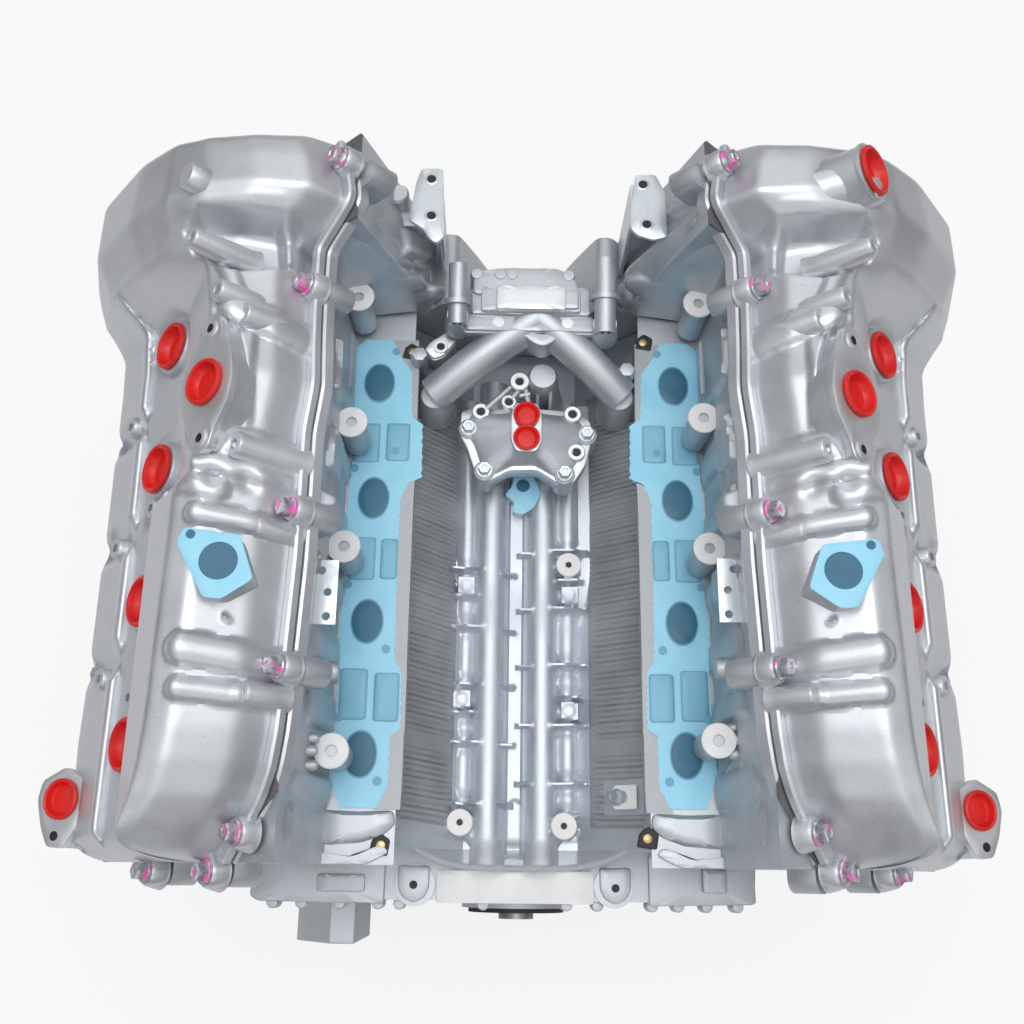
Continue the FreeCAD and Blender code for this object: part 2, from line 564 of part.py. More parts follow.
def make_head(side):
    name = f"Head{SIDE_NAMES[side]}"
    foot = S.deck_height + S.head_gasket_thick
    lip = bank_point(S.port_face_in, S.port_face_height)
    heel = bank_point(S.port_face_out, S.port_face_height)
    main = [(-S.head_foot_outer, foot), (S.bank_wall + 4, foot), lip, heel, (S.head_inner, S.head_top),
            (-S.head_outer, S.head_top), (-S.head_outer, S.head_top - 22), (-S.head_foot_outer - 8, foot + 70)]
    start = -S.head_front
    body = prism(name + "Main", "XZ", start, S.chain_start - start, [bank_outline(side, main)])
    tower = [(-S.head_outer, foot), (S.bank_wall + 38, foot), (S.bulge_inner, S.head_top),
             (-S.bulge_outer, S.head_top), (-S.bulge_outer, S.head_top - 24)]
    chain = prism(name + "Chain", "XZ", S.chain_start, S.chain_end - S.chain_start,
                  [bank_outline(side, tower)])
    outlet_x = inboard(side, -S.outlet_offset)
    outlet = rod(name + "Outlet", S.outlet_bore + 6, S.outlet_rise + 40, outlet_x, S.outlet_y, S.head_top - 40)
    wells = [rod(f"{name}WellTube{row}", S.well_radius + S.well_wall, S.well_top - S.cover_seam - S.head_top + 64,
                 0, bore_y(side, row), S.head_top - 64) for row in range(CYLINDERS)]
    posts = [upright_rod(f"{name}StandOff{index}", side, S.stand_off_radius, 44, S.stand_off_x, y,
                         S.stand_off_top - 44)
             for index, (x, y) in enumerate(stand_off_spots()) if float(x) * side > 0]
    for index, (inward, y) in enumerate(cover_bolt_spots(side)):
        posts.append(ear(f"{name}Ear{index}", side, inward, y, S.head_top - S.ear_height - 8,
                         S.ear_height + 8))
    tools = []
    low = S.head_top - 62
    inner = [(-S.head_outer + S.head_wall, S.head_top + 1), (-S.head_outer + S.head_wall, low + 42),
             (-S.head_foot_outer + 2, low), (30, low), (67, low + 12), (S.head_inner - 31, low + 28),
             (S.head_inner - S.head_wall, S.head_top + 1)]
    gallery = prism(name + "Gallery", "XZ", start + 10, S.chain_start - start - 20,
                    [bank_outline(side, inner)])
    beams = [box(f"{name}Beam{row}", as_dim(-S.head_outer), S.head_outer, CYLINDER_Y[row] - 9,
                 CYLINDER_Y[row] + 9, low - 2, S.cam_height) for row in range(CYLINDERS)]
    corner = corner_wedge(name + "Corner", side, S.corner_cut + 14)
    tools.append(cut(name + "GalleryOpen", gallery, beams + wells + [corner]))
    chain_inner = [(-S.head_outer + S.head_wall, foot - 1), (S.bank_wall + 28, foot - 1),
                   (S.bulge_inner - S.head_wall - 4, S.head_top + 1),
                   (-S.bulge_outer + S.head_wall + 4, S.head_top + 1),
                   (-S.bulge_outer + S.head_wall + 4, S.head_top - 18)]
    tools.append(prism(name + "ChainRoom", "XZ", S.chain_start + 8, S.chain_end - S.chain_start - 15,
                       [bank_outline(side, chain_inner)]))
    for row in range(CYLINDERS):
        y = bore_y(side, row)
        tools.append(cone(f"{name}Chamber{row}", S.chamber_radius, S.chamber_radius - 18, S.chamber_depth, 0, y,
                          foot - 0.01))
        tools.append(rod(f"{name}PlugHole{row}", 7, 60, 0, y, foot))
        tools.append(rod(f"{name}Well{row}", S.well_radius, 140, 0, y, foot + 46))
        port_t, port_n = bank_point(S.port_x, S.port_face_height)
        outboard = Rotation(Vector(0, 1, 0), side * 90)
        tools.append(upright_rod(f"{name}Port{row}", side, S.port_radius, S.port_depth + 1, S.port_x,
                                 CYLINDER_Y[row], S.port_face_height - S.port_depth))
        tools.append(rod(f"{name}Runner{row}", S.runner_radius, S.runner_length, inboard(side, port_t),
                         CYLINDER_Y[row], port_n, outboard))
        outward = Rotation(Vector(0, 1, 0), side * 70)
        tools.append(rod(f"{name}Exhaust{row}", S.exhaust_radius, 90, inboard(side, -20), y, foot + 26, outward))
        for sign in (-1, 1):
            for half in (-1, 1):
                label = f"{row}{'AB'[sign > 0]}{'AB'[half > 0]}"
                x, seat_y, z, turn = valve_seat(side, row, sign, half)
                steps = ((S.valve_radius + 0.5, -12, as_dim(12)), (S.throat_radius, 0, as_dim(16)),
                         (S.stem_radius + S.running_fit, 0, S.stem_length + 20))
                for index, (radius, low_end, length) in enumerate(steps):
                    drill = rod(f"{name}Valve{label}{index}", radius, length, 0, 0, low_end)
                    drilled = join_one(f"{name}ValveTurned{label}{index}", drill)
                    tools.append(place(drilled, x, seat_y, z, turn))
    for sign in (-1, 1):
        tools.append(rod(f"{name}CamBore{'AB'[sign > 0]}", S.cam_journal + S.running_fit,
                         S.chain_end - start - 12, inboard(side, sign * S.cam_offset), start + 4,
                         S.cam_height, ALONG_Y))
    tools.append(rod(name + "OutletBore", S.outlet_bore, S.outlet_rise + 31, outlet_x, S.outlet_y,
                     S.head_top - 30))
    solid = join(name + "Solid", [body, chain, outlet] + wells + posts)
    finish_in_bank(cut(name, solid, tools), f"cylinder_head_{SIDE_NAMES[side]}", side)


# Engine X and Z from the crankshaft, as inboard distance and height in a bank
def bank_point(x, z):
    return (z - x) * cosine(S.bank_angle), (z + x) * cosine(S.bank_angle)


# The outline round several circles in anticlockwise order, each as across, along and radius
def belt_wire(circles):
    count = len(circles)
    normals = []
    for index, (x1, z1, r1) in enumerate(circles):
        x2, z2, r2 = circles[(index + 1) % count]
        spread = math.hypot(x2 - x1, z2 - z1)
        normals.append(math.atan2(z2 - z1, x2 - x1) - math.acos((r1 - r2) / spread))
    edges = []
    for index, (x, z, radius) in enumerate(circles):
        first = normals[index - 1]
        last = normals[index]
        while last < first:
            last += 2 * math.pi
        spots = [Vector(x + radius * math.cos(angle), z + radius * math.sin(angle), 0)
                 for angle in (first, (first + last) / 2, last)]
        edges.append(Part.Arc(*spots).toShape())
    closed = []
    for index, edge in enumerate(edges):
        closed.append(edge)
        after = edges[(index + 1) % count]
        closed.append(Part.makeLine(edge.Vertexes[-1].Point, after.Vertexes[0].Point))
    return Part.Wire(closed)


def hull_face(circles, grow=0):
    return Part.Face(belt_wire([(float(x), float(z), float(radius) + float(grow)) for x, z, radius in circles]))


# A flat plate round several circles, from start along the plane's normal
def hull_plate(name, plane, start, length, circles, holes=()):
    turn, _, axis = PLANES[plane]
    face = hull_face(circles)
    for across_hole, along_hole, radius in holes:
        spot = Vector(float(across_hole), float(along_hole), 0)
        face = face.cut(Part.Face(Part.Wire(Part.makeCircle(float(radius), spot))))
    plate = doc.addObject("Part::Feature", name)
    towards = -1 if plane == "XZ" else 1
    plate.Shape = face.extrude(Vector(0, 0, towards * float(length)))
    return place(plate, turn=turn, **{axis: start})


# World up, seen from inside a bank's own frame, and the place of an engine point there
def upright(side):
    return Rotation(Vector(0, 1, 0), -side * float(S.bank_angle))


def bank_spot(side, x, z):
    inward, height = bank_point(x, z)
    return inboard(side, inward), height


def upright_rod(name, side, radius, length, x, y, z):
    spot_x, spot_z = bank_spot(side, x, z)
    return rod(name, radius, length, spot_x, y, spot_z, upright(side))


def make_cam_caps():
    pieces = []
    for side in (LEFT, RIGHT):
        for row in range(CYLINDERS):
            for sign in (-1, 1):
                name = f"CamCap{SIDE_NAMES[side]}{row}{'AB'[sign > 0]}"
                centre = inboard(side, sign * S.cam_offset)
                half = S.cam_journal + 11
                body = box(name + "Body", centre - half, centre + half, CYLINDER_Y[row] - 8,
                           CYLINDER_Y[row] + 8, S.cam_height, S.cam_height + S.cam_journal + 7)
                bore = rod(name + "Bore", S.cam_journal + S.running_fit, 20, centre, CYLINDER_Y[row] - 10,
                           S.cam_height, ALONG_Y)
                pieces.append(cut(name, body, [bore]))
                place(pieces[-1], turn=bank_turn(side))
    finish(group("CamCaps", pieces), "cam_bearing_caps")


# The cylinder's place in its four-stroke cycle at rest, in crank degrees after firing
def cycle_angle(side, row):
    lead = (PIN_ANGLES[row] - side * float(S.bank_angle)) % 360
    return lead + (360 if side == RIGHT else 0)


# A valve's seat in its bank: place across, along and up, and the turn of its stem towards the camshaft
def valve_seat(side, row, sign, half):
    x = inboard(side, sign * S.valve_inward)
    y = bore_y(side, row) + half * S.valve_half_pitch
    z = S.deck_height + S.head_gasket_thick + S.valve_seat_rise
    lean = math.degrees(math.atan2(S.cam_offset.value - S.valve_inward.value, S.cam_height.value - z.value))
    return x, y, z, Rotation(Vector(0, 1, 0), -side * sign * lean)


# The four valves of each cylinder's kind, seated: disc, stem and spring plate turned as one
def make_valves(sign):
    kind = "Intake" if sign > 0 else "Exhaust"
    outline = [(as_dim(0), -S.valve_disc), (S.valve_radius, -S.valve_disc), (S.valve_radius, as_dim(0)),
               (S.throat_radius - 0.5, as_dim(0)), (S.stem_radius, as_dim(9)),
               (S.stem_radius, S.stem_length - 4), (S.retainer_radius, S.stem_length - 3),
               (S.retainer_radius, S.stem_length), (as_dim(0), S.stem_length)]
    pieces = []
    for side in (LEFT, RIGHT):
        for row in range(CYLINDERS):
            for half in (-1, 1):
                name = f"{kind}Valve{SIDE_NAMES[side]}{row}{'AB'[half > 0]}"
                x, y, z, turn = valve_seat(side, row, sign, half)
                valve = turned(name, outline, x, y, z, turn)
                pieces.append(place(join_one(name + "Turned", valve), turn=bank_turn(side)))
    finish(group(kind + "Valves", pieces), kind.lower() + "_valves")


def make_camshaft(side, sign):
    kind = "intake" if sign > 0 else "exhaust"
    name = f"Cam{kind}{SIDE_NAMES[side]}"
    start = 6 - S.head_front
    pieces = [rod(name + "Shaft", S.cam_radius, S.chain_end - 12 - start, 0, start, 0, ALONG_Y)]
    peak = 470 if sign > 0 else 250
    nose = S.cam_base + S.cam_lift - S.nose_radius
    for row in range(CYLINDERS):
        pieces.append(rod(f"{name}Journal{row}", S.cam_journal, 20, 0, CYLINDER_Y[row] - 10, 0, ALONG_Y))
        valve_lean = math.degrees(math.atan2(side * sign * 39, -104))
        turn = valve_lean + (cycle_angle(side, row) - peak) / 2
        for end in (-1, 1):
            middle = CYLINDER_Y[row] + end * S.lobe_pair
            lobe = hull_plate(f"{name}Lobe{row}{'AB'[end > 0]}", "XZ", 0, S.lobe_width,
                              [(0, 0, S.cam_base), (0, nose, S.nose_radius)])
            pieces.append(place(lobe, 0, middle - S.lobe_width / 2, 0,
                                Rotation(Vector(0, 1, 0), turn).multiply(PLANES["XZ"][0])))
    x, z = across(side, S.cam_height, sign * S.cam_offset)
    finish(join(name, pieces), f"{kind}_camshaft_{SIDE_NAMES[side]}", x, 0, z, bank_turn(side))


# A chain wheel's outline: one straight-sided tooth per pitch
def sprocket(name, radius, teeth, start, width, bore):
    spots = []
    for index in range(int(teeth)):
        for share, reach in ((0, -S.tooth_depth), (0.5, S.tooth_tip)):
            angle = 2 * math.pi * (index + share) / int(teeth)
            length = float(radius) + float(reach)
            spots.append(Vector(length * math.sin(angle), 0, length * math.cos(angle)))
    wheel = doc.addObject("Part::Feature", name + "Wheel")
    wheel.Shape = Part.Face(Part.makePolygon(spots + spots[:1])).extrude(Vector(0, float(width), 0))
    place(wheel, 0, start, 0)
    hole = rod(name + "Bore", bore, width + 4, 0, start - 2, 0, ALONG_Y)
    return cut(name, wheel, [hole])


def make_cam_sprockets():
    for side in (LEFT, RIGHT):
        for sign in (-1, 1):
            kind = "intake" if sign > 0 else "exhaust"
            wheel = sprocket(f"CamWheel{kind}{SIDE_NAMES[side]}", S.cam_sprocket_radius, S.cam_teeth,
                             S.cam_chain_y, S.sprocket_width, S.cam_radius + S.seat_fit)
            x, z = across(side, S.cam_height, sign * S.cam_offset)
            finish(wheel, f"{kind}_cam_sprocket_{SIDE_NAMES[side]}", x, 0, z, bank_turn(side))


def make_drive_sprockets():
    crank_wheel = sprocket("CrankWheel", S.crank_sprocket_radius, S.crank_teeth, S.primary_chain_y,
                           S.sprocket_width, S.main_radius + S.seat_fit)
    finish(crank_wheel, "crank_sprocket")
    large = S.crank_sprocket_radius * S.idler_large_teeth / S.crank_teeth
    small = S.cam_sprocket_radius * S.idler_small_teeth / S.cam_teeth
    for side in (LEFT, RIGHT):
        name = f"Idler{SIDE_NAMES[side]}"
        bore = S.idler_pin_radius + S.running_fit
        wheels = [sprocket(name + "Large", large, S.idler_large_teeth, S.primary_chain_y, S.sprocket_width,
                           bore),
                  sprocket(name + "Small", small, S.idler_small_teeth, S.cam_chain_y, S.sprocket_width, bore)]
        hub_start = S.primary_chain_y + S.sprocket_width
        hub = rod(name + "Hub", S.idler_pin_radius + 7, S.cam_chain_y - hub_start, 0, hub_start, 0, ALONG_Y)
        hole = rod(name + "HubBore", bore, 40, 0, S.primary_chain_y - 5, 0, ALONG_Y)
        wheels.append(cut(name + "HubRing", hub, [hole]))
        x, z = across(side, S.idler_distance, 0)
        finish(join(name, wheels), f"intermediate_sprocket_{SIDE_NAMES[side]}", x, 0, z)


# A chain as the band that its links fill, round the wheels' tips
def chain_band(name, start, circles):
    slack = S.tooth_tip + S.cast_gap
    inner = hull_face(circles, slack)
    outer = hull_face(circles, slack + S.chain_thick)
    band = doc.addObject("Part::Feature", name)
    band.Shape = outer.cut(inner).extrude(Vector(0, 0, -float(S.sprocket_width)))
    return place(band, 0, start, 0, PLANES["XZ"][0])


def make_chains():
    large = S.crank_sprocket_radius * S.idler_large_teeth / S.crank_teeth
    small = S.cam_sprocket_radius * S.idler_small_teeth / S.cam_teeth
    right_x, idler_z = across(RIGHT, S.idler_distance, 0)
    band = chain_band("PrimaryChain", S.primary_chain_y, [(0, 0, S.crank_sprocket_radius),
                      (right_x, idler_z, large), (-right_x, idler_z, large)])
    finish(join_one("PrimaryChainNode", band), "primary_timing_chain")
    bands = []
    for side in (LEFT, RIGHT):
        wheels = [(0, S.idler_distance, small), (S.cam_offset, S.cam_height, S.cam_sprocket_radius),
                  (-S.cam_offset, S.cam_height, S.cam_sprocket_radius)]
        band = chain_band(f"CamChain{SIDE_NAMES[side]}", S.cam_chain_y, wheels)
        bands.append(place(band, 0, S.cam_chain_y, 0, bank_turn(side).multiply(PLANES["XZ"][0])))
    finish(group("CamChains", bands), "cam_timing_chains")


# The wedge that takes off a cover's corner at the pulley end, on the valley's side
def corner_wedge(name, side, reach):
    edge = S.head_inner + 4
    far = edge + 10
    outline = [(inboard(side, far), -S.head_front - 10), (inboard(side, edge - reach - 10), -S.head_front - 10),
               (inboard(side, far), reach + 10 - S.head_front)]
    return prism(name, "XY", S.seam - 100, as_dim(200), [outline])


# The cover's outline across the bank at five places: over the camshaft box, behind it, where it starts to
# climb, at the top of the climb and over the chain, each drawn in by the wall where it is the room inside
def cover_outlines(side, wall):
    low = S.seam - wall * 0.2
    roof = S.seam + S.cover_roof_rise - wall
    crest = S.seam + S.box_rise - wall * 1.2
    peak = S.seam + S.bulge_rise - wall * 1.4
    outer = -S.head_outer + wall
    inner = S.head_inner + 4 - wall * 1.6
    step = roof + 2
    box_line = [(outer, low), (outer, roof - 18), (outer + 13, roof - 6), (as_dim(-40), roof), (22 + wall, step),
                (29 + wall, crest - 14), (84 - wall * 0.4, crest), (102 - wall, crest - 10),
                (inner, crest - 49), (inner, low)]
    slope_line = [(outer, low), (outer, roof - 18), (outer + 13, roof - 6), (as_dim(-40), roof), (as_dim(20), step),
                  (as_dim(41), step + 8), (97 - wall, crest - 6), (107 - wall, crest - 19), (inner, crest - 47),
                  (inner, low)]
    climb_line = [(outer, low), (outer, roof - 16), (outer + 13, roof - 4), (as_dim(-46), roof + 2),
                  (as_dim(18), step + 1), (as_dim(46), step + 12), (88 - wall, crest - 6),
                  (107 - wall, crest - 19), (inner, crest - 45), (inner, low)]
    top_line = [(outer, low), (outer, peak - 72), (outer + 10, peak - 46), (as_dim(-58), peak - 22),
                (as_dim(10), peak - 15), (as_dim(50), peak - 16), (92 - wall, peak - 24),
                (110 - wall, peak - 40), (inner, peak - 66), (inner, low)]
    far_outer = -S.bulge_outer + wall * 1.6
    far_inner = S.bulge_inner - wall * 1.6
    bulge_line = [(far_outer, low), (far_outer, peak - 80), (far_outer + 26, peak - 40), (as_dim(-58), peak - 8),
                  (as_dim(16), peak), (as_dim(64), peak - 4), (100 - wall, peak - 16),
                  (130 - wall, peak - 38), (far_inner - 6, peak - 68), (far_inner, low)]
    return [bank_outline(side, line) for line in (box_line, slope_line, climb_line, top_line, bulge_line)]


# Screw towers that stand on a cover along the bores: inboard distance, place and height over the seam
def tower_spots(side):
    shift = (1 + side) * S.bank_stagger / 2
    return [(102, 192 + shift, 107.6), (108, 153 + shift, 78.6), (119, 141 + shift, 59.6),
            (121, 39 + shift, 57.6), (119, shift - 19, 33.6), (119, shift - 125, 27.6)]


# A plate's turn in a bank's frame, where it faces up and leans away from the valley
def leaning(side):
    return Rotation(Vector(0, 1, 0), side * float(S.oval_tilt - S.bank_angle))


def lean_spot(side, depth):
    x = S.oval_x - depth * sine(S.oval_tilt)
    return bank_spot(side, x, S.oval_height - depth * cosine(S.oval_tilt))


def make_cam_cover(side):
    name = f"Cover{SIDE_NAMES[side]}"
    start = -S.head_front
    box_line, slope_line, climb_line, top_line, bulge_line = cover_outlines(side, as_dim(0))
    stations = [(start, box_line), (S.box_end, box_line), (S.slope_start, slope_line),
                (S.climb_start, climb_line), (S.climb_end, top_line), (S.chain_start, bulge_line),
                (S.chain_end, bulge_line)]
    pieces = [lofted(name + "Skin", stations)]
    for row in range(CYLINDERS):
        pieces.append(rod(f"{name}Collar{row}", S.well_radius + S.well_wall + 5, as_dim(16), 0,
                          bore_y(side, row), S.well_top - 16))
    pump_x, pump_z = bank_spot(side, S.pump_x, S.pump_height - 30)
    pad = hull_plate(name + "PumpPad", "XY", 0, 30, pump_outline(side, 0))
    pieces.append(place(pad, pump_x, S.pump_y, pump_z, upright(side)))
    flange = hull_plate(name + "OvalFlange", "XY", 0, S.oval_depth, oval_outline())
    port_x, port_z = lean_spot(side, S.oval_depth)
    pieces.append(place(flange, port_x, S.oval_y, port_z, leaning(side)))
    if side == RIGHT:
        pieces.append(rod(name + "Neck", S.neck_radius, as_dim(60), inboard(side, S.neck_inward), S.neck_y,
                          S.head_top + S.neck_rise - 60))
    for index, (inward, y, height) in enumerate(tower_spots(side)):
        pieces.append(rod(f"{name}Tower{index}", S.tower_radius, as_dim(height), inboard(side, inward), y, S.seam))
    for index, (inward, y) in enumerate(cover_bolt_spots(side)):
        pieces.append(ear(f"{name}Ear{index}", side, inward, y, S.seam, S.ear_height))
    box_room, slope_room, climb_room, top_room, bulge_room = cover_outlines(side, S.cover_wall)
    room = lofted(name + "Room", [(start + 6, box_room), (S.box_end - 3, box_room), (S.slope_start - 2, slope_room),
                                  (S.climb_start + 2, climb_room), (S.climb_end + 3, top_room),
                                  (S.chain_start - 10, top_room)])
    corner = corner_wedge(name + "RoomCorner", side, S.corner_cut + 16)
    towers = [rod(f"{name}TowerCore{index}", S.tower_radius, as_dim(height), inboard(side, inward), y, S.seam)
              for index, (inward, y, height) in enumerate(tower_spots(side)) if index < 2]
    relief = S.outlet_bore + 6 + 4
    tools = [cut(name + "RoomOpen", room, [corner] + towers), corner_wedge(name + "Corner", side, S.corner_cut),
             rod(name + "OutletRelief", relief, 60, inboard(side, -S.outlet_offset), S.outlet_y, S.seam - 5),
             lofted(name + "ChainRoom", [(S.chain_start + 7, bulge_room), (S.chain_end - 7, bulge_room)])]
    for row in range(CYLINDERS):
        tools.append(rod(f"{name}TubeHole{row}", S.well_radius + S.well_wall + S.cast_gap,
                         S.well_top - 2 - S.seam, 0, bore_y(side, row), S.seam))
        tools.append(rod(f"{name}WellHole{row}", S.well_radius, 20, 0, bore_y(side, row), S.well_top - 10))
        tools.append(rod(f"{name}WellFace{row}", S.well_radius + S.cap_flange + 1, 30, 0, bore_y(side, row),
                         S.well_top))
    for index, (inward, y) in enumerate(cover_bolt_spots(side)):
        tools.append(rod(f"{name}BoltFace{index}", S.bolt_head + 3, 40, inboard(side, inward), y,
                         S.seam + S.ear_height))
    for index, (inward, y, height) in enumerate(tower_spots(side)):
        tools.append(rod(f"{name}TowerHole{index}", S.tower_hole, 15, inboard(side, inward), y,
                         S.seam + height - 14))
    tools.append(upright_rod(name + "PumpBore", side, S.pump_bore, 60, S.pump_x, S.pump_y, S.pump_height - 50))
    bore_x, bore_z = lean_spot(side, S.oval_depth + 14)
    tools.append(rod(name + "OvalBore", S.oval_bore, S.oval_depth + 20, bore_x, S.oval_y, bore_z, leaning(side)))
    if side == RIGHT:
        tools.append(rod(name + "NeckBore", S.neck_radius - S.neck_wall, 80, inboard(side, S.neck_inward),
                         S.neck_y, S.head_top + S.neck_rise - 70))
    cover = cut(name, join(name + "Solid", pieces), tools)
    finish_in_bank(cover, f"cam_cover_{SIDE_NAMES[side]}", side)


# Flange outlines seen from above, about their own bore, in anticlockwise order
def pump_outline(side, grow):
    spots = [(side * 20, 18, 6), (side * -7, 13, 7), (side * -16, -7, 7), (side * 1, -19, 8)]
    if side == LEFT:
        spots.reverse()
    return [(x, y, radius + float(grow)) for x, y, radius in spots]


def oval_outline():
    lug = 11
    middle = 14
    return [(0, -S.oval_reach, lug), (middle - 2, 0, middle), (0, S.oval_reach, lug), (2 - middle, 0, middle)]


def cover_bolt_spots(side):
    shift = (1 + side) * S.bank_stagger / 2
    inner = S.head_inner + S.ear_radius + 2
    outer = -S.head_outer - S.ear_radius
    front = -S.head_front - 6
    return [(S.bulge_inner + S.ear_radius - 2, 262 + shift), (inner, 176 + shift), (inner, shift - 1),
            (inner, shift - 112), (as_dim(92), 19 - S.head_front + shift), (as_dim(60), front),
            (as_dim(-20), front), (outer, shift - 90), (outer, as_dim(0)), (outer, 104 + shift),
            (-S.bulge_outer - S.ear_radius + 2, 262 + shift)]


# A screw ear and the web that ties it to the wall behind, from start along the bores
def ear(name, side, inward, y, start, length):
    reach = S.ear_radius + 4
    tip = float(inward)
    foot = [tip - math.copysign(float(reach), tip), y] if abs(tip) > 100 else [tip, y + reach]
    circles = [(float(inboard(side, tip)), float(y), S.ear_radius),
               (float(inboard(side, foot[0])), float(foot[1]), S.ear_radius)]
    return hull_plate(name, "XY", start, length, circles)


def make_cover_bolts():
    pieces = []
    base = S.seam + S.ear_height
    for side in (LEFT, RIGHT):
        for index, (inward, y) in enumerate(cover_bolt_spots(side)):
            x, z = across(side, base, as_dim(inward))
            bolt = doc.addObject("Part::Prism", f"CoverBolt{SIDE_NAMES[side]}{index}")
            bolt.Polygon = 6
            bind(bolt, Circumradius=S.bolt_head, Height=S.bolt_head)
            pieces.append(place(bolt, x, y, z, bank_turn(side)))
    finish(group("CoverBolts", pieces), "cover_bolts")


def make_cover_gaskets():
    pieces = []
    start = -S.head_front
    for side in (LEFT, RIGHT):
        slant = S.corner_cut - 4
        narrow = slant + 3
        outer = [(-S.head_outer, start), (S.head_inner - slant, start), (S.head_inner, start + slant),
                 (S.head_inner, S.chain_start),
                 (S.bulge_inner, S.chain_start), (S.bulge_inner, S.chain_end), (-S.bulge_outer, S.chain_end),
                 (-S.bulge_outer, S.chain_start), (-S.head_outer, S.chain_start)]
        inner = [(4 - S.head_outer, start + 4), (S.head_inner - 6 - narrow, start + 4),
                 (S.head_inner - 6, start + 4 + narrow), (S.head_inner - 6, S.chain_start + 6), (S.bulge_inner - 9, S.chain_start + 6),
                 (S.bulge_inner - 9, S.chain_end - 6), (8 - S.bulge_outer, S.chain_end - 6),
                 (8 - S.bulge_outer, S.chain_start + 6), (4 - S.head_outer, S.chain_start + 6)]
        outlines = [[(inboard(side, inward), y) for inward, y in loop] for loop in (outer, inner)]
        name = f"CoverGasket{SIDE_NAMES[side]}"
        strip = prism(name + "Strip", "XY", S.head_top, S.cover_seam, outlines)
        relief = rod(name + "Relief", S.outlet_bore + 6 + 4, 10, inboard(side, -S.outlet_offset), S.outlet_y,
                     S.head_top - 4)
        copy = cut(name, strip, [relief])
        pieces.append(place(copy, turn=bank_turn(side)))
    finish(group("CoverGaskets", pieces), "cam_cover_gaskets")


# The same solid under its own placement, so that a bank's turn can be given to it
def join_one(name, piece):
    compound = doc.addObject("Part::Compound", name)
    compound.Links = [piece]
    return compound


def make_rear_case():
    foot = S.deck_height + S.head_gasket_thick
    outer_half = [(S.skirt_half_width, -S.bedplate_height), (S.skirt_half_width + 17, as_dim(0)),
                  across(RIGHT, 150, -95), across(RIGHT, foot, -S.head_outer), across(RIGHT, foot, S.bank_wall + 38)]
    outer_half.append((outer_half[-1][0] - 8, S.case_top))
    inner_half = [(S.skirt_half_width - 8, 8 - S.bedplate_height), (S.skirt_half_width + 8, as_dim(0)),
                  across(RIGHT, 150, -86), across(RIGHT, foot + 1, 8 - S.head_outer),
                  across(RIGHT, foot + 1, S.bank_wall + 28)]
    inner_half.append((inner_half[-1][0] - 10, S.case_top - 9))
    outer = outer_half + [(-x, z) for x, z in reversed(outer_half)]
    inner = inner_half + [(-x, z) for x, z in reversed(inner_half)]
    start = S.block_half_length
    body = prism("RearCaseBody", "XZ", start, S.chain_end - start, [outer])
    tools = [prism("RearCaseRoom", "XZ", start - 1, S.chain_end - start - S.case_wall + 1, [inner]),
             rod("RearCaseCrankHole", S.main_radius + 2, 30, 0, S.chain_end - 20, 0, ALONG_Y)]
    case = cut("RearCaseShell", body, tools)
    pins = []
    for side in (LEFT, RIGHT):
        x, z = across(side, S.idler_distance, 0)
        pins.append(rod(f"RearCasePin{SIDE_NAMES[side]}", S.idler_pin_radius, S.chain_end - start - 1, x,
                        start, z, ALONG_Y))
    finish(join("RearCase", [case] + pins), "rear_timing_case")


def make_front_cover():
    start = -S.block_half_length
    base = [(-S.skirt_half_width, -S.bedplate_height), (S.skirt_half_width, -S.bedplate_height),
            (S.skirt_half_width + 26, as_dim(14)), across(RIGHT, 212, -60), (as_dim(150), S.front_top),
            (as_dim(-150), S.front_top), across(LEFT, 212, -60), (-S.skirt_half_width - 26, as_dim(14))]
    wide = [(-S.skirt_half_width, -S.bedplate_height), (S.skirt_half_width, -S.bedplate_height),
            (S.skirt_half_width + 30, as_dim(10)), (as_dim(200), as_dim(64)), (as_dim(200), S.front_top - 10),
            (as_dim(188), S.front_top), (as_dim(-210), S.front_top), (as_dim(-223), S.front_top - 10),
            (as_dim(-223), as_dim(64)), (-S.skirt_half_width - 30, as_dim(10))]
    lip = S.head_front + 3
    pieces = [prism("FrontBase", "XZ", -lip, lip + start, [base]),
              prism("FrontWide", "XZ", start - S.front_cover_thick, S.front_cover_thick - lip - start, [wide]),
              rod("FrontHub", S.seal_radius + 6, 8, 0, start - S.front_cover_thick - 8, 0, ALONG_Y)]
    for index, x in enumerate((-87, 79)):
        pieces.append(rod(f"FrontLug{index}", 17, 3, x, -252, S.front_top))
    pieces.append(box("FrontPad", as_dim(-66), as_dim(59), as_dim(-263), as_dim(-242), S.front_top - 5,
                      S.front_top + 3))
    tools = [rod("FrontSealBore", S.seal_radius - 12, 80, 0, start - S.front_cover_thick - 10, 0, ALONG_Y)]
    for index, x in enumerate((-87, 79)):
        tools.append(rod(f"FrontLugHole{index}", 4, 16, x, -252, S.front_top - 10))
    finish(cut("Front", join("FrontSolid", pieces), tools), "front_cover")


def make_front_seal():
    y = -S.block_half_length - S.front_cover_thick - 8
    outline = [(S.seal_lip_radius, as_dim(-4)), (S.seal_radius, as_dim(-4)),
               (S.seal_radius, as_dim(0)), (S.seal_radius - 12.3, as_dim(0)),
               (S.seal_radius - 12.3, as_dim(10)), (S.seal_lip_radius, as_dim(10))]
    ring = turned("FrontSeal", outline, 0, y, 0, ALONG_Y)
    finish(join_one("FrontSealNode", ring), "front_crank_seal")


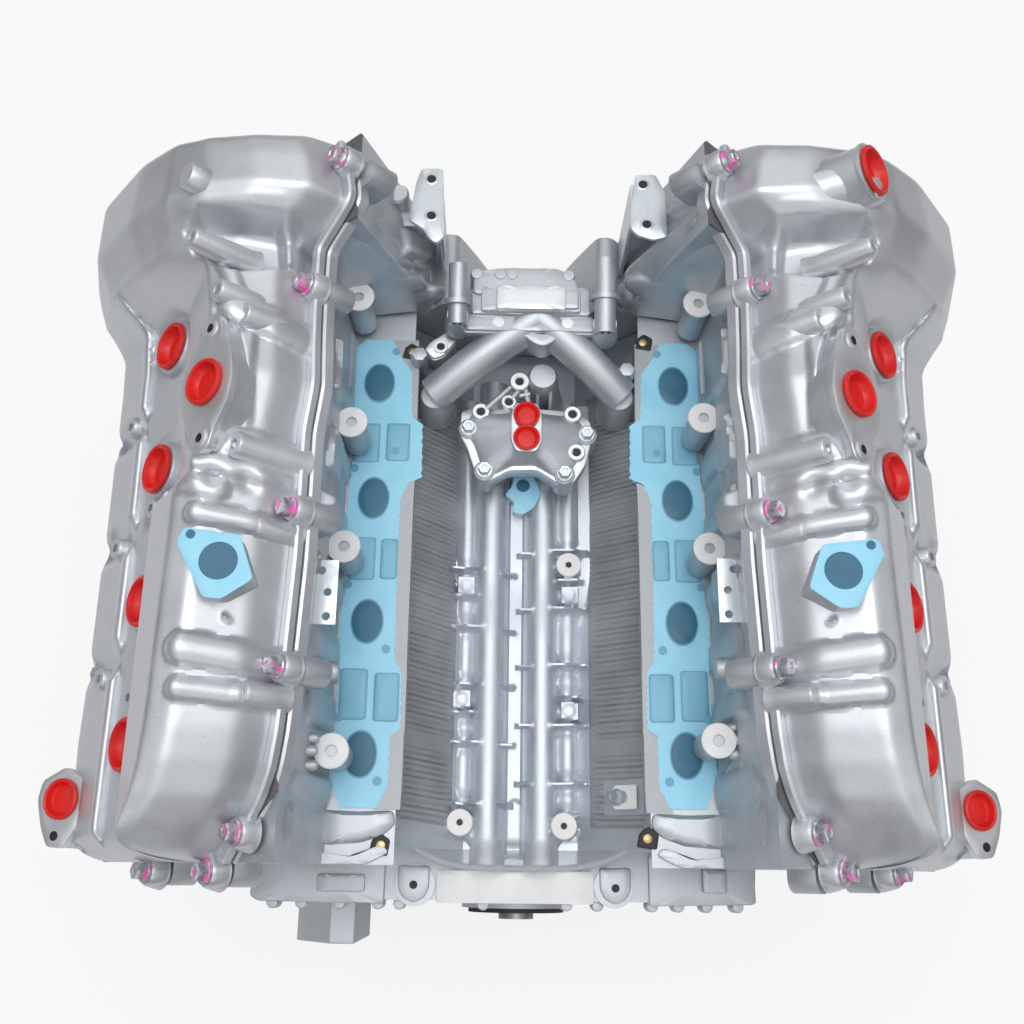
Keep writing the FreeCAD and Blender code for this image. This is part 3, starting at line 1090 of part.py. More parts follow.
def make_crossover():
    top = S.crossover_height
    base = S.case_top
    mid_y = (S.crossover_start + S.crossover_end) / 2
    half = S.crossover_half_width
    body = hull_plate("CrossBody", "XY", base, top - base,
                      [(-half + 14, S.crossover_start + 14, 14), (half - 14, S.crossover_start + 14, 14),
                       (half - 14, S.crossover_end - 12, 12), (-half + 14, S.crossover_end - 12, 12)])
    pieces = [body]
    for index, (x, y) in enumerate(((-60, 236), (65, 240))):
        pieces.append(rod(f"CrossConnector{index}", S.connector_radius, top + 14 - base, x, y, base))
        pieces.append(rod(f"CrossCollar{index}", S.connector_radius + 3, 5, x, y, top))
    for sign in (-1, 1):
        reach = Vector(sign * 70, -52, -28)
        turn = Rotation(Vector(0, 0, 1), reach)
        pieces.append(rod(f"CrossPipe{'AB'[sign > 0]}", S.pipe_radius, reach.Length, sign * 12, mid_y - 22,
                          top - 18, turn))
    pieces.append(box("CrossPlate", as_dim(-28), as_dim(30), mid_y - 14, mid_y + 14, top - 2, top + 3))
    finish(join("Crossover", pieces), "coolant_crossover")


def make_cooler_cover():
    floor = S.valley_floor + S.gallery_radius
    top = S.cooler_height
    ring = [(-50, 112), (-36, 76), (31, 73), (49, 109), (38, 132), (-10, 156)]
    skirt = hull_plate("CoolerSkirt", "XY", floor, top - floor,
                       [(-30, 76, 14), (26, 74, 14), (40, 116, 14), (0, 146, 16), (-40, 114, 14)])
    pieces = [skirt]
    port_ys = (126, 105)
    pad = hull_plate("CoolerPad", "XY", top, 18, [(0, port_ys[1], 18), (0, port_ys[0], 18)])
    pieces.append(pad)
    for index, (x, y) in enumerate(ring):
        pieces.append(rod(f"CoolerBoss{index}", 8, top + 8 - floor, x, y, floor))
    tools = [rod(f"CoolerPort{index}", 9, 40, 0, y, top - 15) for index, y in enumerate(port_ys)]
    finish(cut("Cooler", join("CoolerSolid", pieces), tools), "oil_cooler_cover")


def make_valley_gasket():
    outline = [(-22, 20, 10), (20, 18, 12), (24, 38, 10), (-4, 44, 12), (-24, 36, 8)]
    plate = hull_plate("ValleyGasket", "XY", S.valley_floor + S.gallery_radius, 1.5, outline, [(-3, 31, 8)])
    finish(join_one("ValleyGasketNode", plate), "valley_gasket")


def make_port_gaskets():
    pieces = []
    inner = [(112, 196), (112, 186), (99, 167), (97, 125), (88, 118), (86, 71), (98, 66), (104, 51), (104, -80),
             (97, -92), (96, -136), (104, -141), (104, -180), (112, -196)]
    outer = [(141, -196), (149, -165), (147, -100), (147, 60), (144, 95), (149, 160), (141, 196)]
    for side in (LEFT, RIGHT):
        corners = [(side * as_dim(x), as_dim(y)) for x, y in inner + outer]
        holes = [(side * S.port_x, CYLINDER_Y[row], S.port_radius) for row in range(CYLINDERS)]
        pieces.append(prism(f"PortGasket{SIDE_NAMES[side]}", "XY", S.port_face_height, S.head_gasket_thick,
                            [corners], holes))
    finish(group("PortGaskets", pieces), "intake_port_gaskets")


def make_pump_gaskets():
    pieces = []
    for side in (LEFT, RIGHT):
        name = f"PumpGasket{SIDE_NAMES[side]}"
        plate = hull_plate(name, "XY", 0, 1.2, pump_outline(side, 2), [(0, 0, S.pump_bore)])
        pieces.append(place(plate, side * S.pump_x, S.pump_y, S.pump_height))
    finish(group("PumpGaskets", pieces), "pump_seat_gaskets")


# A shipping plug: a cup with a flange that closes a round port, its flange seated at Z 0
def cup(name, radius, depth, x, y, z, turn=ALONG_Z):
    fit = radius - S.cast_gap
    wall = S.plug_wall
    flange = radius + S.cap_flange
    outline = [(as_dim(0), -depth), (fit, -depth), (fit, as_dim(0)), (flange, as_dim(0)), (flange, wall), (fit - wall, wall), (fit - wall, wall - depth), (as_dim(0), wall - depth)]
    return turned(name, outline, x, y, z, turn)


def make_well_plugs():
    pieces = []
    for side in (LEFT, RIGHT):
        for row in range(CYLINDERS):
            x, z = across(side, S.well_top, 0)
            pieces.append(cup(f"WellPlug{SIDE_NAMES[side]}{row}", S.well_radius, as_dim(12), x,
                              bore_y(side, row), z, bank_turn(side)))
    finish(group("WellPlugs", pieces), "spark_plug_well_caps")


def make_port_plugs():
    pieces = []
    for side in (LEFT, RIGHT):
        x, z = across(side, S.head_top + S.outlet_rise, -S.outlet_offset)
        pieces.append(cup(f"OutletPlug{SIDE_NAMES[side]}", S.outlet_bore, as_dim(14), x, S.outlet_y, z,
                          bank_turn(side)))
        lean = Rotation(Vector(0, 1, 0), side * float(S.oval_tilt))
        pieces.append(cup(f"OvalPlug{SIDE_NAMES[side]}", S.oval_bore, as_dim(12), side * S.oval_x, S.oval_y,
                          S.oval_height, lean))
    for index, y in enumerate((126, 105)):
        pieces.append(cup(f"CoolerPlug{index}", as_dim(9), as_dim(8), 0, y, S.cooler_height + 18))
    neck_x, neck_z = across(RIGHT, S.head_top + S.neck_rise, S.neck_inward)
    pieces.append(cup("NeckPlug", S.neck_radius - S.neck_wall, as_dim(16), neck_x, S.neck_y, neck_z,
                      bank_turn(RIGHT)))
    finish(group("PortPlugs", pieces), "port_shipping_caps")


def stand_off_spots():
    return [(-S.stand_off_x, 210), (-S.stand_off_x, 98), (-S.stand_off_x, -5), (-S.stand_off_x, -159),
            (S.stand_off_x, 210), (S.stand_off_x, 107), (S.stand_off_x, -2), (S.stand_off_x, -148)]


def make_washers():
    pieces = []
    for index, (x, y) in enumerate(stand_off_spots()):
        outer = rod(f"WasherDisc{index}", S.washer_radius, S.washer_thick, x, y, S.stand_off_top)
        hole = rod(f"WasherHole{index}", 4, 6, x, y, S.stand_off_top - 1)
        pieces.append(cut(f"Washer{index}", outer, [hole]))
    finish(group("Washers", pieces), "stand_off_washers")


def make_lifting_brackets():
    pieces = []
    for index, (x1, x2, y1, y2, leg) in enumerate(((-95, -71, 234, 298, -75), (71, 112, 242, 300, 71))):
        plate = box(f"LiftPlate{index}", as_dim(x1), as_dim(x2), as_dim(y1), as_dim(y2), S.bracket_top - 3,
                    S.bracket_top)
        post = box(f"LiftLeg{index}", as_dim(leg), as_dim(leg + 4), as_dim(259), as_dim(292), S.case_top,
                   S.bracket_top)
        holes = [rod(f"LiftHole{index}{end}", 5, 10, (x1 + x2) / 2, y, S.bracket_top - 6)
                 for end, y in enumerate((y1 + 12, y2 - 12))]
        pieces.append(cut(f"Lift{index}", join(f"LiftSolid{index}", [plate, post]), holes))
    finish(group("LiftingBrackets", pieces), "lifting_brackets")


# Angle brackets for wiring on the heads' walls, and a clip plate with its screw on the valley's slope
def make_wiring_brackets():
    pieces = []
    sheet_thick = 2.5
    top = 302
    low = 285
    for side in (LEFT, RIGHT):
        wall_low = wall_x(low)
        wall_top = wall_x(top)
        outline = [(wall_low - sheet_thick, as_dim(low)), (wall_low, as_dim(low)), (wall_top, as_dim(top)),
                   (as_dim(139), as_dim(top)), (as_dim(139), as_dim(top) - sheet_thick),
                   (wall_x(top - sheet_thick) - sheet_thick, as_dim(top) - sheet_thick)]
        shift = 3 * side - 46
        name = f"WiringBracket{SIDE_NAMES[side]}"
        angle = prism(name + "Angle", "XZ", as_dim(shift - 24), as_dim(48), [[(side * x, z) for x, z in outline]])
        holes = [rod(f"{name}Hole{index}", 3, 8, side * x, shift + y, top - 5)
                 for index, (x, y) in enumerate(((146, -18), (146, 0), (151, 16)))]
        pieces.append(cut(name, angle, holes))
    clip = box("WiringClip", -S.bank_wall - 3, -S.bank_wall, as_dim(-193), as_dim(-173), as_dim(170), as_dim(192))
    screw = rod("WiringScrew", 5, 4, -S.bank_wall - 3, -183, 181, Rotation(Vector(0, 1, 0), -90))
    pieces.append(place(join_one("WiringClipTurned", join("WiringClipSet", [clip, screw])), turn=bank_turn(RIGHT)))
    finish(group("WiringBrackets", pieces), "wiring_brackets")


# The head's wall over the ports: its distance from the crankshaft's plane at a height
def wall_x(height):
    top_x, top_z = across(RIGHT, S.head_top, S.head_inner)
    return S.port_face_out + (top_x - S.port_face_out) * (height - S.port_face_height) / (
        top_z - S.port_face_height)


def make_filter_housing():
    wall_x = -S.skirt_half_width
    outline = [(wall_x, as_dim(-10)), (wall_x, -S.bedplate_height), (as_dim(-132), as_dim(-150)),
               (as_dim(-210), as_dim(-150)), (as_dim(-210), as_dim(-60)), (as_dim(-172), as_dim(-10))]
    front = -S.block_half_length - S.front_cover_thick - 42
    body = prism("FilterBody", "XZ", front, as_dim(150), [outline])
    clear = S.skirt_half_width + 31
    relief = box("FilterRelief", -clear, as_dim(0), front - 1, S.cast_gap - S.block_half_length, as_dim(-151),
                 as_dim(1))
    finish(cut("FilterHousing", body, [relief]), "oil_filter_housing")


def make_drain_plug():
    depth = S.crank_height
    hexagon = doc.addObject("Part::Prism", "DrainHead")
    hexagon.Polygon = 6
    bind(hexagon, Circumradius=S.drain_radius + 3, Height=as_dim(7))
    place(hexagon, 0, -S.pan_half_length - 6, 30 - depth, ALONG_Y)
    stem = rod("DrainStem", S.drain_radius - S.cast_gap, 30, 0, -S.pan_half_length - 1, 30 - depth, ALONG_Y)
    finish(join("DrainPlug", [hexagon, stem]), "drain_plug")


def main_all():
    make_block()
    make_bedplate()
    make_main_bearings()
    make_oil_pan()
    make_crankshaft()
    for side in (LEFT, RIGHT):
        make_head_gasket(side)
        make_head(side)
        make_cam_cover(side)
        for row in range(CYLINDERS):
            make_rod(side, row)
            make_piston(side, row)
        for sign in (-1, 1):
            make_camshaft(side, sign)
    for sign in (-1, 1):
        make_valves(sign)
    make_cam_caps()
    make_cam_sprockets()
    make_drive_sprockets()
    make_chains()
    make_cover_gaskets()
    make_cover_bolts()
    make_rear_case()
    make_front_cover()
    make_front_seal()
    make_crossover()
    make_cooler_cover()
    make_valley_gasket()
    make_port_gaskets()
    make_pump_gaskets()
    make_well_plugs()
    make_port_plugs()
    make_washers()
    make_lifting_brackets()
    make_filter_housing()
    make_drain_plug()
    make_wiring_brackets()


main_all()
doc.recompute()
for thing in doc.Objects:
    if "Invalid" in thing.State or "Error" in thing.State:
        raise RuntimeError(f"{thing.Label} failed: {thing.State}")
for thing in nodes:
    if thing.Shape.isNull() or not thing.Shape.isValid():
        raise RuntimeError(f"{thing.Label} has no valid shape")
os.makedirs("parts", exist_ok=True)
for thing in nodes:
    thing.Shape.exportStep(f"parts/{thing.Label}.step")
    print(thing.Label, len(thing.Shape.Solids), round(thing.Shape.Volume / 1000), "cm3")
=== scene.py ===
import math

import bmesh
import bpy
import numpy as np
from mathutils import Matrix, Vector


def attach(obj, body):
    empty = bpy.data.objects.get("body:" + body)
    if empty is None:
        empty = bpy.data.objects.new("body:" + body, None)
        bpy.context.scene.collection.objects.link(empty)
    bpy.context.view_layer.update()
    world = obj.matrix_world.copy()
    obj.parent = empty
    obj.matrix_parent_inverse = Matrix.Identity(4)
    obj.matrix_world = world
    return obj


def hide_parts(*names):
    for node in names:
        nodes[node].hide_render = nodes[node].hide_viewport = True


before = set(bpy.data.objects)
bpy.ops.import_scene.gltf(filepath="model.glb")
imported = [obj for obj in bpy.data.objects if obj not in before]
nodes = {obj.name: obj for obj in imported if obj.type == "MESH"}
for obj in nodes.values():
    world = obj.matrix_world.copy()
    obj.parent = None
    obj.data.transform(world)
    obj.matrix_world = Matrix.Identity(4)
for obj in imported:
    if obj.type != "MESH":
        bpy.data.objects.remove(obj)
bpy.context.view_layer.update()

crankHeight = 218.0
slope = math.sqrt(0.5)
left, right = -1, 1
sideNames = {left: "left", right: "right"}
print("frame loaded:", len(nodes), "nodes")


# shader maths: a wire wraps one socket, and an expression on wires adds its Math nodes
class Wire:
    def __init__(self, tree, socket):
        self.tree, self.socket = tree, socket

    def calc(self, kind, a, b=0.0):
        made = self.tree.nodes.new("ShaderNodeMath")
        made.operation = kind
        for slot, value in zip(made.inputs, (a, b)):
            plug(self.tree, slot, value)
        return Wire(self.tree, made.outputs[0])

    def __add__(self, other):
        return self.calc("ADD", self, other)

    def __radd__(self, other):
        return self.calc("ADD", other, self)

    def __sub__(self, other):
        return self.calc("SUBTRACT", self, other)

    def __rsub__(self, other):
        return self.calc("SUBTRACT", other, self)

    def __mul__(self, other):
        return self.calc("MULTIPLY", self, other)

    def __rmul__(self, other):
        return self.calc("MULTIPLY", other, self)


# links a wire to a socket, or writes a value in it; a colour of three numbers gets its alpha
def plug(tree, slot, value):
    if isinstance(value, Wire):
        tree.links.new(value.socket, slot)
    elif isinstance(value, tuple) and len(value) == 3 and slot.type == "RGBA":
        slot.default_value = (*value, 1)
    else:
        slot.default_value = value


# a node tree with short ways to its nodes
class Graph:
    def __init__(self, tree):
        self.tree = tree

    # any node: its type, its first sockets in order, its settings, then its other sockets by name
    def node(self, kind, *ordered, settings=None, out=0, **named):
        made = self.tree.nodes.new("ShaderNode" + kind)
        for key, value in (settings or {}).items():
            if key == "stops":
                ramp = made.color_ramp
                while len(ramp.elements) < len(value):
                    ramp.elements.new(0.5)
                for element, (spot, colour) in zip(ramp.elements, value):
                    element.position, element.color = spot, (*colour, 1)
            else:
                setattr(made, key, value)
        for slot, value in zip(made.inputs, ordered):
            plug(self.tree, slot, value)
        for key, value in named.items():
            plug(self.tree, made.inputs[key.replace("_", " ")], value)
        return Wire(self.tree, made.outputs[out])

    # one shader over another where the factor is one, as the tree's surface
    def cover(self, factor, under, over, output):
        mixed = self.node("MixShader", factor, under, over)
        self.tree.links.new(mixed.socket, self.tree.nodes[output].inputs[0])


class Finish(Graph):
    def __init__(self, name):
        self.material = bpy.data.materials.new(name)
        self.material.use_nodes = True
        super().__init__(self.material.node_tree)
        self.shader = self.tree.nodes["Principled BSDF"]

    def place(self):
        return self.node("TexCoord", out=3)

    def noise(self, scale, detail=3.0, roughness=0.5, where=None):
        return self.node("TexNoise", Vector=where or self.place(), Scale=scale, Detail=detail,
                         Roughness=roughness)

    def between(self, low, high, value):
        return self.node("MapRange", settings={"clamp": True}, Value=value, From_Min=low, From_Max=high)

    def blend(self, factor, a, b):
        made = self.tree.nodes.new("ShaderNodeMix")
        made.data_type = "RGBA"
        for index, value in ((0, factor), (6, a), (7, b)):
            plug(self.tree, made.inputs[index], value)
        return Wire(self.tree, made.outputs[2])

    def bump(self, height, distance, strength=1.0):
        return self.node("Bump", Height=height, Distance=distance, Strength=strength)

    def set(self, **inputs):
        for key, value in inputs.items():
            plug(self.tree, self.shader.inputs[key.replace("_", " ")], value)
        return self.material


# cast aluminium: patches of two greys with specks, and a bumpy skin of two grain sizes
def castAlloy(name, pale, dark, rough=0.42, grain=0.00016, metal=0.75):
    f = Finish(name)
    patches = f.between(0.35, 0.7, f.noise(16.0, 4.0, 0.6))
    fine = f.noise(1500.0, 2.0, 0.6)
    lumps = f.noise(170.0, 3.0, 0.55)
    colour = f.blend(patches, dark, pale)
    speck = f.between(0.62, 0.75, f.noise(420.0, 2.0, 0.5))
    colour = f.blend(speck * 0.25, colour, (0.24, 0.25, 0.27))
    return f.set(Base_Color=colour, Metallic=metal,
                 Roughness=rough - 0.06 + 0.16 * patches + 0.08 * fine,
                 Normal=f.bump(fine * 0.6 + lumps * 0.6, grain, 0.55))


# machined aluminium: a cloudy tint with fine turning rings as its bump
def machinedAlloy(name, colour, pitch=900.0):
    f = Finish(name)
    lines = f.node("TexWave", settings={"wave_type": "RINGS", "rings_direction": "Z"}, Vector=f.place(),
                   Scale=pitch, Distortion=0.4, Detail=1.0)
    cloud = f.between(0.3, 0.7, f.noise(40.0, 3.0))
    tint = f.blend(cloud, tuple(c * 0.86 for c in colour), colour)
    return f.set(Base_Color=tint, Metallic=0.8, Roughness=0.3 + 0.12 * cloud,
                 Normal=f.bump(lines, 0.00004, 0.4))


# steel: the colour clouded by grime, rougher where it is grimy
def steel(name, colour, rough=0.35, grime=(0.10, 0.10, 0.11)):
    f = Finish(name)
    cloud = f.between(0.45, 0.75, f.noise(60.0, 5.0, 0.65))
    fine = f.noise(1900.0, 2.0)
    return f.set(Base_Color=f.blend(cloud * 0.5, colour, grime), Metallic=0.9,
                 Roughness=rough + 0.18 * cloud + 0.06 * fine, Normal=f.bump(fine, 0.00006, 0.4))


# printed film: two blues in clouds with a soft ripple
def film(name, colour, shade):
    f = Finish(name)
    cloud = f.between(0.35, 0.72, f.noise(30.0, 4.0, 0.55))
    ripple = f.noise(120.0, 2.0, 0.4)
    return f.set(Base_Color=f.blend(cloud, colour, shade), Metallic=0.0, Roughness=0.34 + 0.2 * cloud,
                 Normal=f.bump(ripple, 0.0004, 0.35))


# plastic: two shades in clouds with an orange peel skin
def plastic(name, colour, shade, rough=0.34):
    f = Finish(name)
    cloud = f.between(0.4, 0.75, f.noise(55.0, 3.0, 0.5))
    orangePeel = f.noise(700.0, 1.0, 0.4)
    return f.set(Base_Color=f.blend(cloud, colour, shade), Roughness=rough + 0.15 * cloud,
                 Normal=f.bump(orangePeel, 0.00008, 0.4))


# zinc with a dab of pink paint where a noise passes its threshold
def markedBolt(name):
    f = Finish(name)
    dab = f.between(0.54, 0.60, f.noise(150.0, 3.0, 0.55))
    zinc = f.blend(f.between(0.4, 0.7, f.noise(260.0, 3.0)), (0.62, 0.63, 0.66), (0.33, 0.34, 0.37))
    return f.set(Base_Color=f.blend(dab, zinc, (0.86, 0.16, 0.52)), Metallic=0.8 - 0.7 * dab,
                 Roughness=0.3 + 0.2 * dab, Normal=f.bump(f.noise(900.0, 2.0), 0.0001, 0.4))


finishes = {
    "cover": castAlloy("coverAlloy", (0.71, 0.73, 0.76), (0.59, 0.61, 0.64), 0.35),
    "head": castAlloy("headAlloy", (0.61, 0.64, 0.67), (0.47, 0.50, 0.53), 0.42, 0.00022),
    "block": castAlloy("blockAlloy", (0.68, 0.72, 0.77), (0.54, 0.58, 0.63), 0.40, 0.00022),
    "rough": castAlloy("roughAlloy", (0.50, 0.52, 0.54), (0.38, 0.40, 0.42), 0.50, 0.0003, 0.6),
    "bright": machinedAlloy("brightAlloy", (0.78, 0.80, 0.82)),
    "piston": machinedAlloy("pistonAlloy", (0.66, 0.66, 0.67)),
    "forged": steel("forgedSteel", (0.36, 0.36, 0.37)),
    "ground": steel("groundSteel", (0.56, 0.57, 0.58), 0.22),
    # dark steel of the timing chains, and also painted shade: discs of it sit in holes and sockets where shade
    # falls
    "dark": steel("darkSteelAndHoleShade", (0.05, 0.05, 0.055), 0.5),
    "sheet": steel("gasketSteel", (0.42, 0.43, 0.44), 0.38),
    "zinc": steel("zincPlate", (0.66, 0.71, 0.74), 0.3, (0.42, 0.46, 0.48)),
    "brass": steel("brassAlloy", (0.62, 0.47, 0.22), 0.3, (0.3, 0.22, 0.1)),
    "blue": film("blueFilm", (0.30, 0.68, 0.88), (0.38, 0.75, 0.93)),
    # deepBlue, midBlue and paleBlue are the blue film made darker as painted shade: deepBlue over the ports and
    # the pump's holes, midBlue in rims round them and over bolt holes, paleBlue over the recessed pockets
    "deepBlue": film("holeShadeFilm", (0.030, 0.14, 0.23), (0.045, 0.18, 0.28)),
    "midBlue": film("recessShadeFilm", (0.13, 0.38, 0.52), (0.19, 0.46, 0.60)),
    "paleBlue": film("pocketShadeFilm", (0.20, 0.50, 0.66), (0.26, 0.57, 0.72)),
    "red": plastic("redCap", (0.74, 0.016, 0.012), (0.62, 0.010, 0.008), 0.36),
    "white": plastic("whiteRing", (0.86, 0.86, 0.85), (0.78, 0.79, 0.79), 0.45),
    "black": plastic("blackRubber", (0.02, 0.02, 0.022), (0.035, 0.035, 0.037), 0.55),
    "bolt": markedBolt("paintedBolt"),
    "rubber": plastic("greyRubber", (0.12, 0.12, 0.125), (0.17, 0.17, 0.175), 0.6),
}

# finishes of the CAD's nodes by the start of their names; the castings that no start fits are a head's
nodeStarts = {
    "block": ("cylinder_block", "bedplate"), "rough": ("oil_pan",),
    "cover": ("cam_cover_left", "cam_cover_right"),
    "zinc": ("lifting_brackets", "drain_plug", "wiring_brackets"), "forged": ("crankshaft", "connecting_rod"),
    "ground": ("main_bearing_shells", "intake_cam", "exhaust_cam", "intermediate", "crank_sprocket",
               "intake_valves", "exhaust_valves"),
    "sheet": ("head_gasket",), "bright": ("cam_bearing_caps",), "black": ("front_crank_seal",),
    "blue": ("valley_gasket", "intake_port_gaskets", "pump_seat_gaskets"),
    "red": ("spark_plug_well_caps", "port_shipping_caps"), "white": ("stand_off_washers",),
    "bolt": ("cover_bolts",), "rubber": ("cam_cover_gaskets",), "piston": ("piston",),
    "dark": ("primary_timing_chain", "cam_timing_chains"),
}
for name, node in nodes.items():
    key = next((finish for finish, starts in nodeStarts.items() if name.startswith(starts)), "head")
    node.data.materials.clear()
    node.data.materials.append(finishes[key])

print("finishes made:", len(finishes))


# mesh building, in millimetres from the crank's line
metre = 0.001
along = np.array([0.0, 1.0, 0.0])
bankShift = {left: 0.0, right: 4.0}


# quads over a grid of points, row by row, the last column joined to the first where it wraps
def gridFaces(rows, columns, wrap=False):
    index = np.arange(rows * columns).reshape(rows, columns)
    if wrap:
        index = np.concatenate([index, index[:, :1]], 1)
    return np.stack([index[:-1, :-1], index[:-1, 1:], index[1:, 1:], index[1:, :-1]], -1).reshape(-1, 4)


# joins the chunks (points, list of face arrays) into one smooth, closed, outward-facing mesh
def makePiece(name, chunks, finish, body="engine_case", stands=(), sharp=38.0):
    points, faces, first = [], [], 0
    for vertices, groups in chunks:
        vertices = np.asarray(vertices, float).reshape(-1, 3)
        points.append(vertices)
        faces += [np.asarray(group) + first for group in groups]
        first += len(vertices)
    points = (np.concatenate(points) + (0, 0, crankHeight)) * metre
    sizes = np.concatenate([np.full(len(group), group.shape[1]) for group in faces])
    loops = np.concatenate([group.ravel() for group in faces])
    mesh = bpy.data.meshes.new(name)
    mesh.vertices.add(len(points))
    mesh.vertices.foreach_set("co", points.ravel())
    mesh.loops.add(len(loops))
    mesh.loops.foreach_set("vertex_index", loops.astype(np.int32))
    mesh.polygons.add(len(sizes))
    mesh.polygons.foreach_set("loop_start", (np.cumsum(sizes) - sizes).astype(np.int32))
    mesh.update(calc_edges=True)
    work = bmesh.new()
    work.from_mesh(mesh)
    bmesh.ops.remove_doubles(work, verts=work.verts, dist=0.004 * metre)
    bmesh.ops.dissolve_degenerate(work, edges=work.edges, dist=0.002 * metre)
    bmesh.ops.recalc_face_normals(work, faces=work.faces)
    work.to_mesh(mesh)
    work.free()
    mesh.shade_smooth()
    mesh.set_sharp_from_angle(angle=math.radians(sharp))
    mesh.materials.append(finishes[finish])
    thing = bpy.data.objects.new(name, mesh)
    bpy.context.scene.collection.objects.link(thing)
    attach(thing, body)
    if stands:
        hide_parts(*stands)


# one piece for each list of chunks, by rows of (name, finish, CAD nodes that it stands for)
def makePieces(groups, *rows):
    for chunks, (name, finish, *stands) in zip(groups, rows):
        makePiece(name, chunks, finish, stands=stands)


# an axis made one long, with two more square to it and to each other
def crossAxes(axis):
    axis = np.asarray(axis, float) / np.linalg.norm(axis)
    helper = np.array([0.0, 1.0, 0.0]) if abs(axis[1]) < 0.9 else np.array([1.0, 0.0, 0.0])
    first = np.cross(helper, axis)
    first /= np.linalg.norm(first)
    return axis, first, np.cross(axis, first)


# a profile of (radius, height) turned round an axis; sides=6 makes its radius follow a hexagon
def lathe(profile, centre, axis=(0, 0, 1), count=28, sides=0):
    profile = np.asarray(profile, float)
    axis, first, second = crossAxes(axis)
    angle = np.arange(count) * 2 * math.pi / count
    radius = np.ones(count)
    if sides:
        wedge = math.pi / sides
        radius = math.cos(wedge) / np.cos(np.mod(angle, 2 * wedge) - wedge)
    around = np.cos(angle)[:, None] * first + np.sin(angle)[:, None] * second
    points = (np.asarray(centre, float) + profile[:, 1, None, None] * axis
              + profile[:, 0, None, None] * (radius[:, None] * around)[None])
    return points.reshape(-1, 3), [gridFaces(len(profile), count, True)]


# a low disc: a flat profile to its radius and back to the axis, lower there by the crown
def disc(centre, radius, low, high, crown=0.05, axis=(0, 0, 1), count=18):
    profile = [(0, low), (radius, low), (radius, high), (0, high - crown)]
    return lathe(profile, centre, axis, count)


# a closed profile of (sideways, upward) offsets carried along a path of points, its ends closed by fans
def sweep(path, profile, up=(0, 0, 1), scale=None):
    path, profile = np.asarray(path, float), np.asarray(profile, float)
    run = np.gradient(path, axis=0)
    run /= np.linalg.norm(run, axis=1)[:, None]
    across = np.cross(run, up)
    across /= np.linalg.norm(across, axis=1)[:, None]
    above = np.cross(across, run)
    scale = np.ones(len(path)) if scale is None else np.asarray(scale, float)
    rings = (path[:, None] + scale[:, None, None] * (profile[None, :, :1] * across[:, None]
                                                    + profile[None, :, 1:] * above[:, None]))
    points = np.concatenate([rings.reshape(-1, 3), path[:1], path[-1:]])
    rows, columns = rings.shape[:2]
    edge = np.arange(columns)
    after = (edge + 1) % columns
    start = np.stack([np.full(columns, rows * columns), after, edge], -1)
    last = (rows - 1) * columns
    end = np.stack([np.full(columns, rows * columns + 1), last + edge, last + after], -1)
    return points, [gridFaces(rows, columns, True), start, end]


# points of cosine and sine round a circle
def circle(radius, count=20):
    angle = np.arange(count) * 2 * math.pi / count
    return np.stack([radius * np.cos(angle), radius * np.sin(angle)], -1)


# a round bar from a to b, its radius changing evenly to the taper's share of it
def tube(a, b, radius, count=20, taper=1.0):
    a, b = np.asarray(a, float), np.asarray(b, float)
    path = a + np.linspace(0, 1, 3)[:, None] * (b - a)
    up = (0, 0, 1) if abs((b - a)[2]) < 0.9 * np.linalg.norm(b - a) else (0, 1, 0)
    return sweep(path, circle(radius, count), up, np.linspace(1, taper, 3))


# a smooth closed outline through given corners, sampled evenly and rounded by repeated averaging
def roundedLoop(corners, step=2.0, passes=6):
    corners = np.asarray(corners, float)
    ring = np.concatenate([corners, corners[:1]])
    run = np.concatenate([[0], np.cumsum(np.linalg.norm(np.diff(ring, axis=0), axis=1))])
    count = max(12, int(run[-1] / step))
    along = np.arange(count) * run[-1] / count
    loop = np.stack([np.interp(along, run, ring[:, k]) for k in range(ring.shape[1])], -1)
    for _ in range(passes):
        loop = 0.25 * np.roll(loop, 1, 0) + 0.5 * loop + 0.25 * np.roll(loop, -1, 0)
    return loop


# a plate in the plane of two axes: an outline, its rounded rim, and round openings cut by one inner loop
def plate(loop, low, high, origin, axisA, axisB, hole=None, rim=1.0):
    axisA, axisB = np.asarray(axisA, float), np.asarray(axisB, float)
    axisC = np.cross(axisA, axisB)
    loop = np.asarray(loop, float)
    if hole is None:
        middle = loop.mean(0)
        inner = middle + (loop - middle) * 0.02
    else:
        centre, radius = np.asarray(hole[:2], float), hole[2]
        away = loop - centre
        inner = centre + radius * away / np.linalg.norm(away, axis=1)[:, None]
    inward = inner - loop
    reach = np.linalg.norm(inward, axis=1)[:, None]
    soft = loop + inward / reach * np.minimum(rim, reach * 0.4)
    softer = loop + inward / reach * np.minimum(rim * 0.3, reach * 0.2)
    levels = [(inner, low), (loop, low), (loop, high - rim), (softer, high - rim * 0.3), (soft, high)]
    levels += [(inner + (soft - inner) * 0.5, high), (inner, high)]
    rings = np.stack([np.asarray(origin, float) + ring[:, :1] * axisA + ring[:, 1:] * axisB + height * axisC
                      for ring, height in levels])
    if hole is not None:
        rings = np.concatenate([rings, rings[:1]])
    points = rings.reshape(-1, 3)
    groups = [gridFaces(rings.shape[0], rings.shape[1], True)]
    if hole is None:
        count = rings.shape[1]
        points = np.concatenate([points, rings[0].mean(0)[None], rings[-1].mean(0)[None]])
        edge = np.arange(count)
        after = (edge + 1) % count
        base = rings.shape[0] * count
        groups.append(np.stack([np.full(count, base), edge, after], -1))
        groups.append(np.stack([np.full(count, base + 1), base - count + after, base - count + edge], -1))
    return points, groups


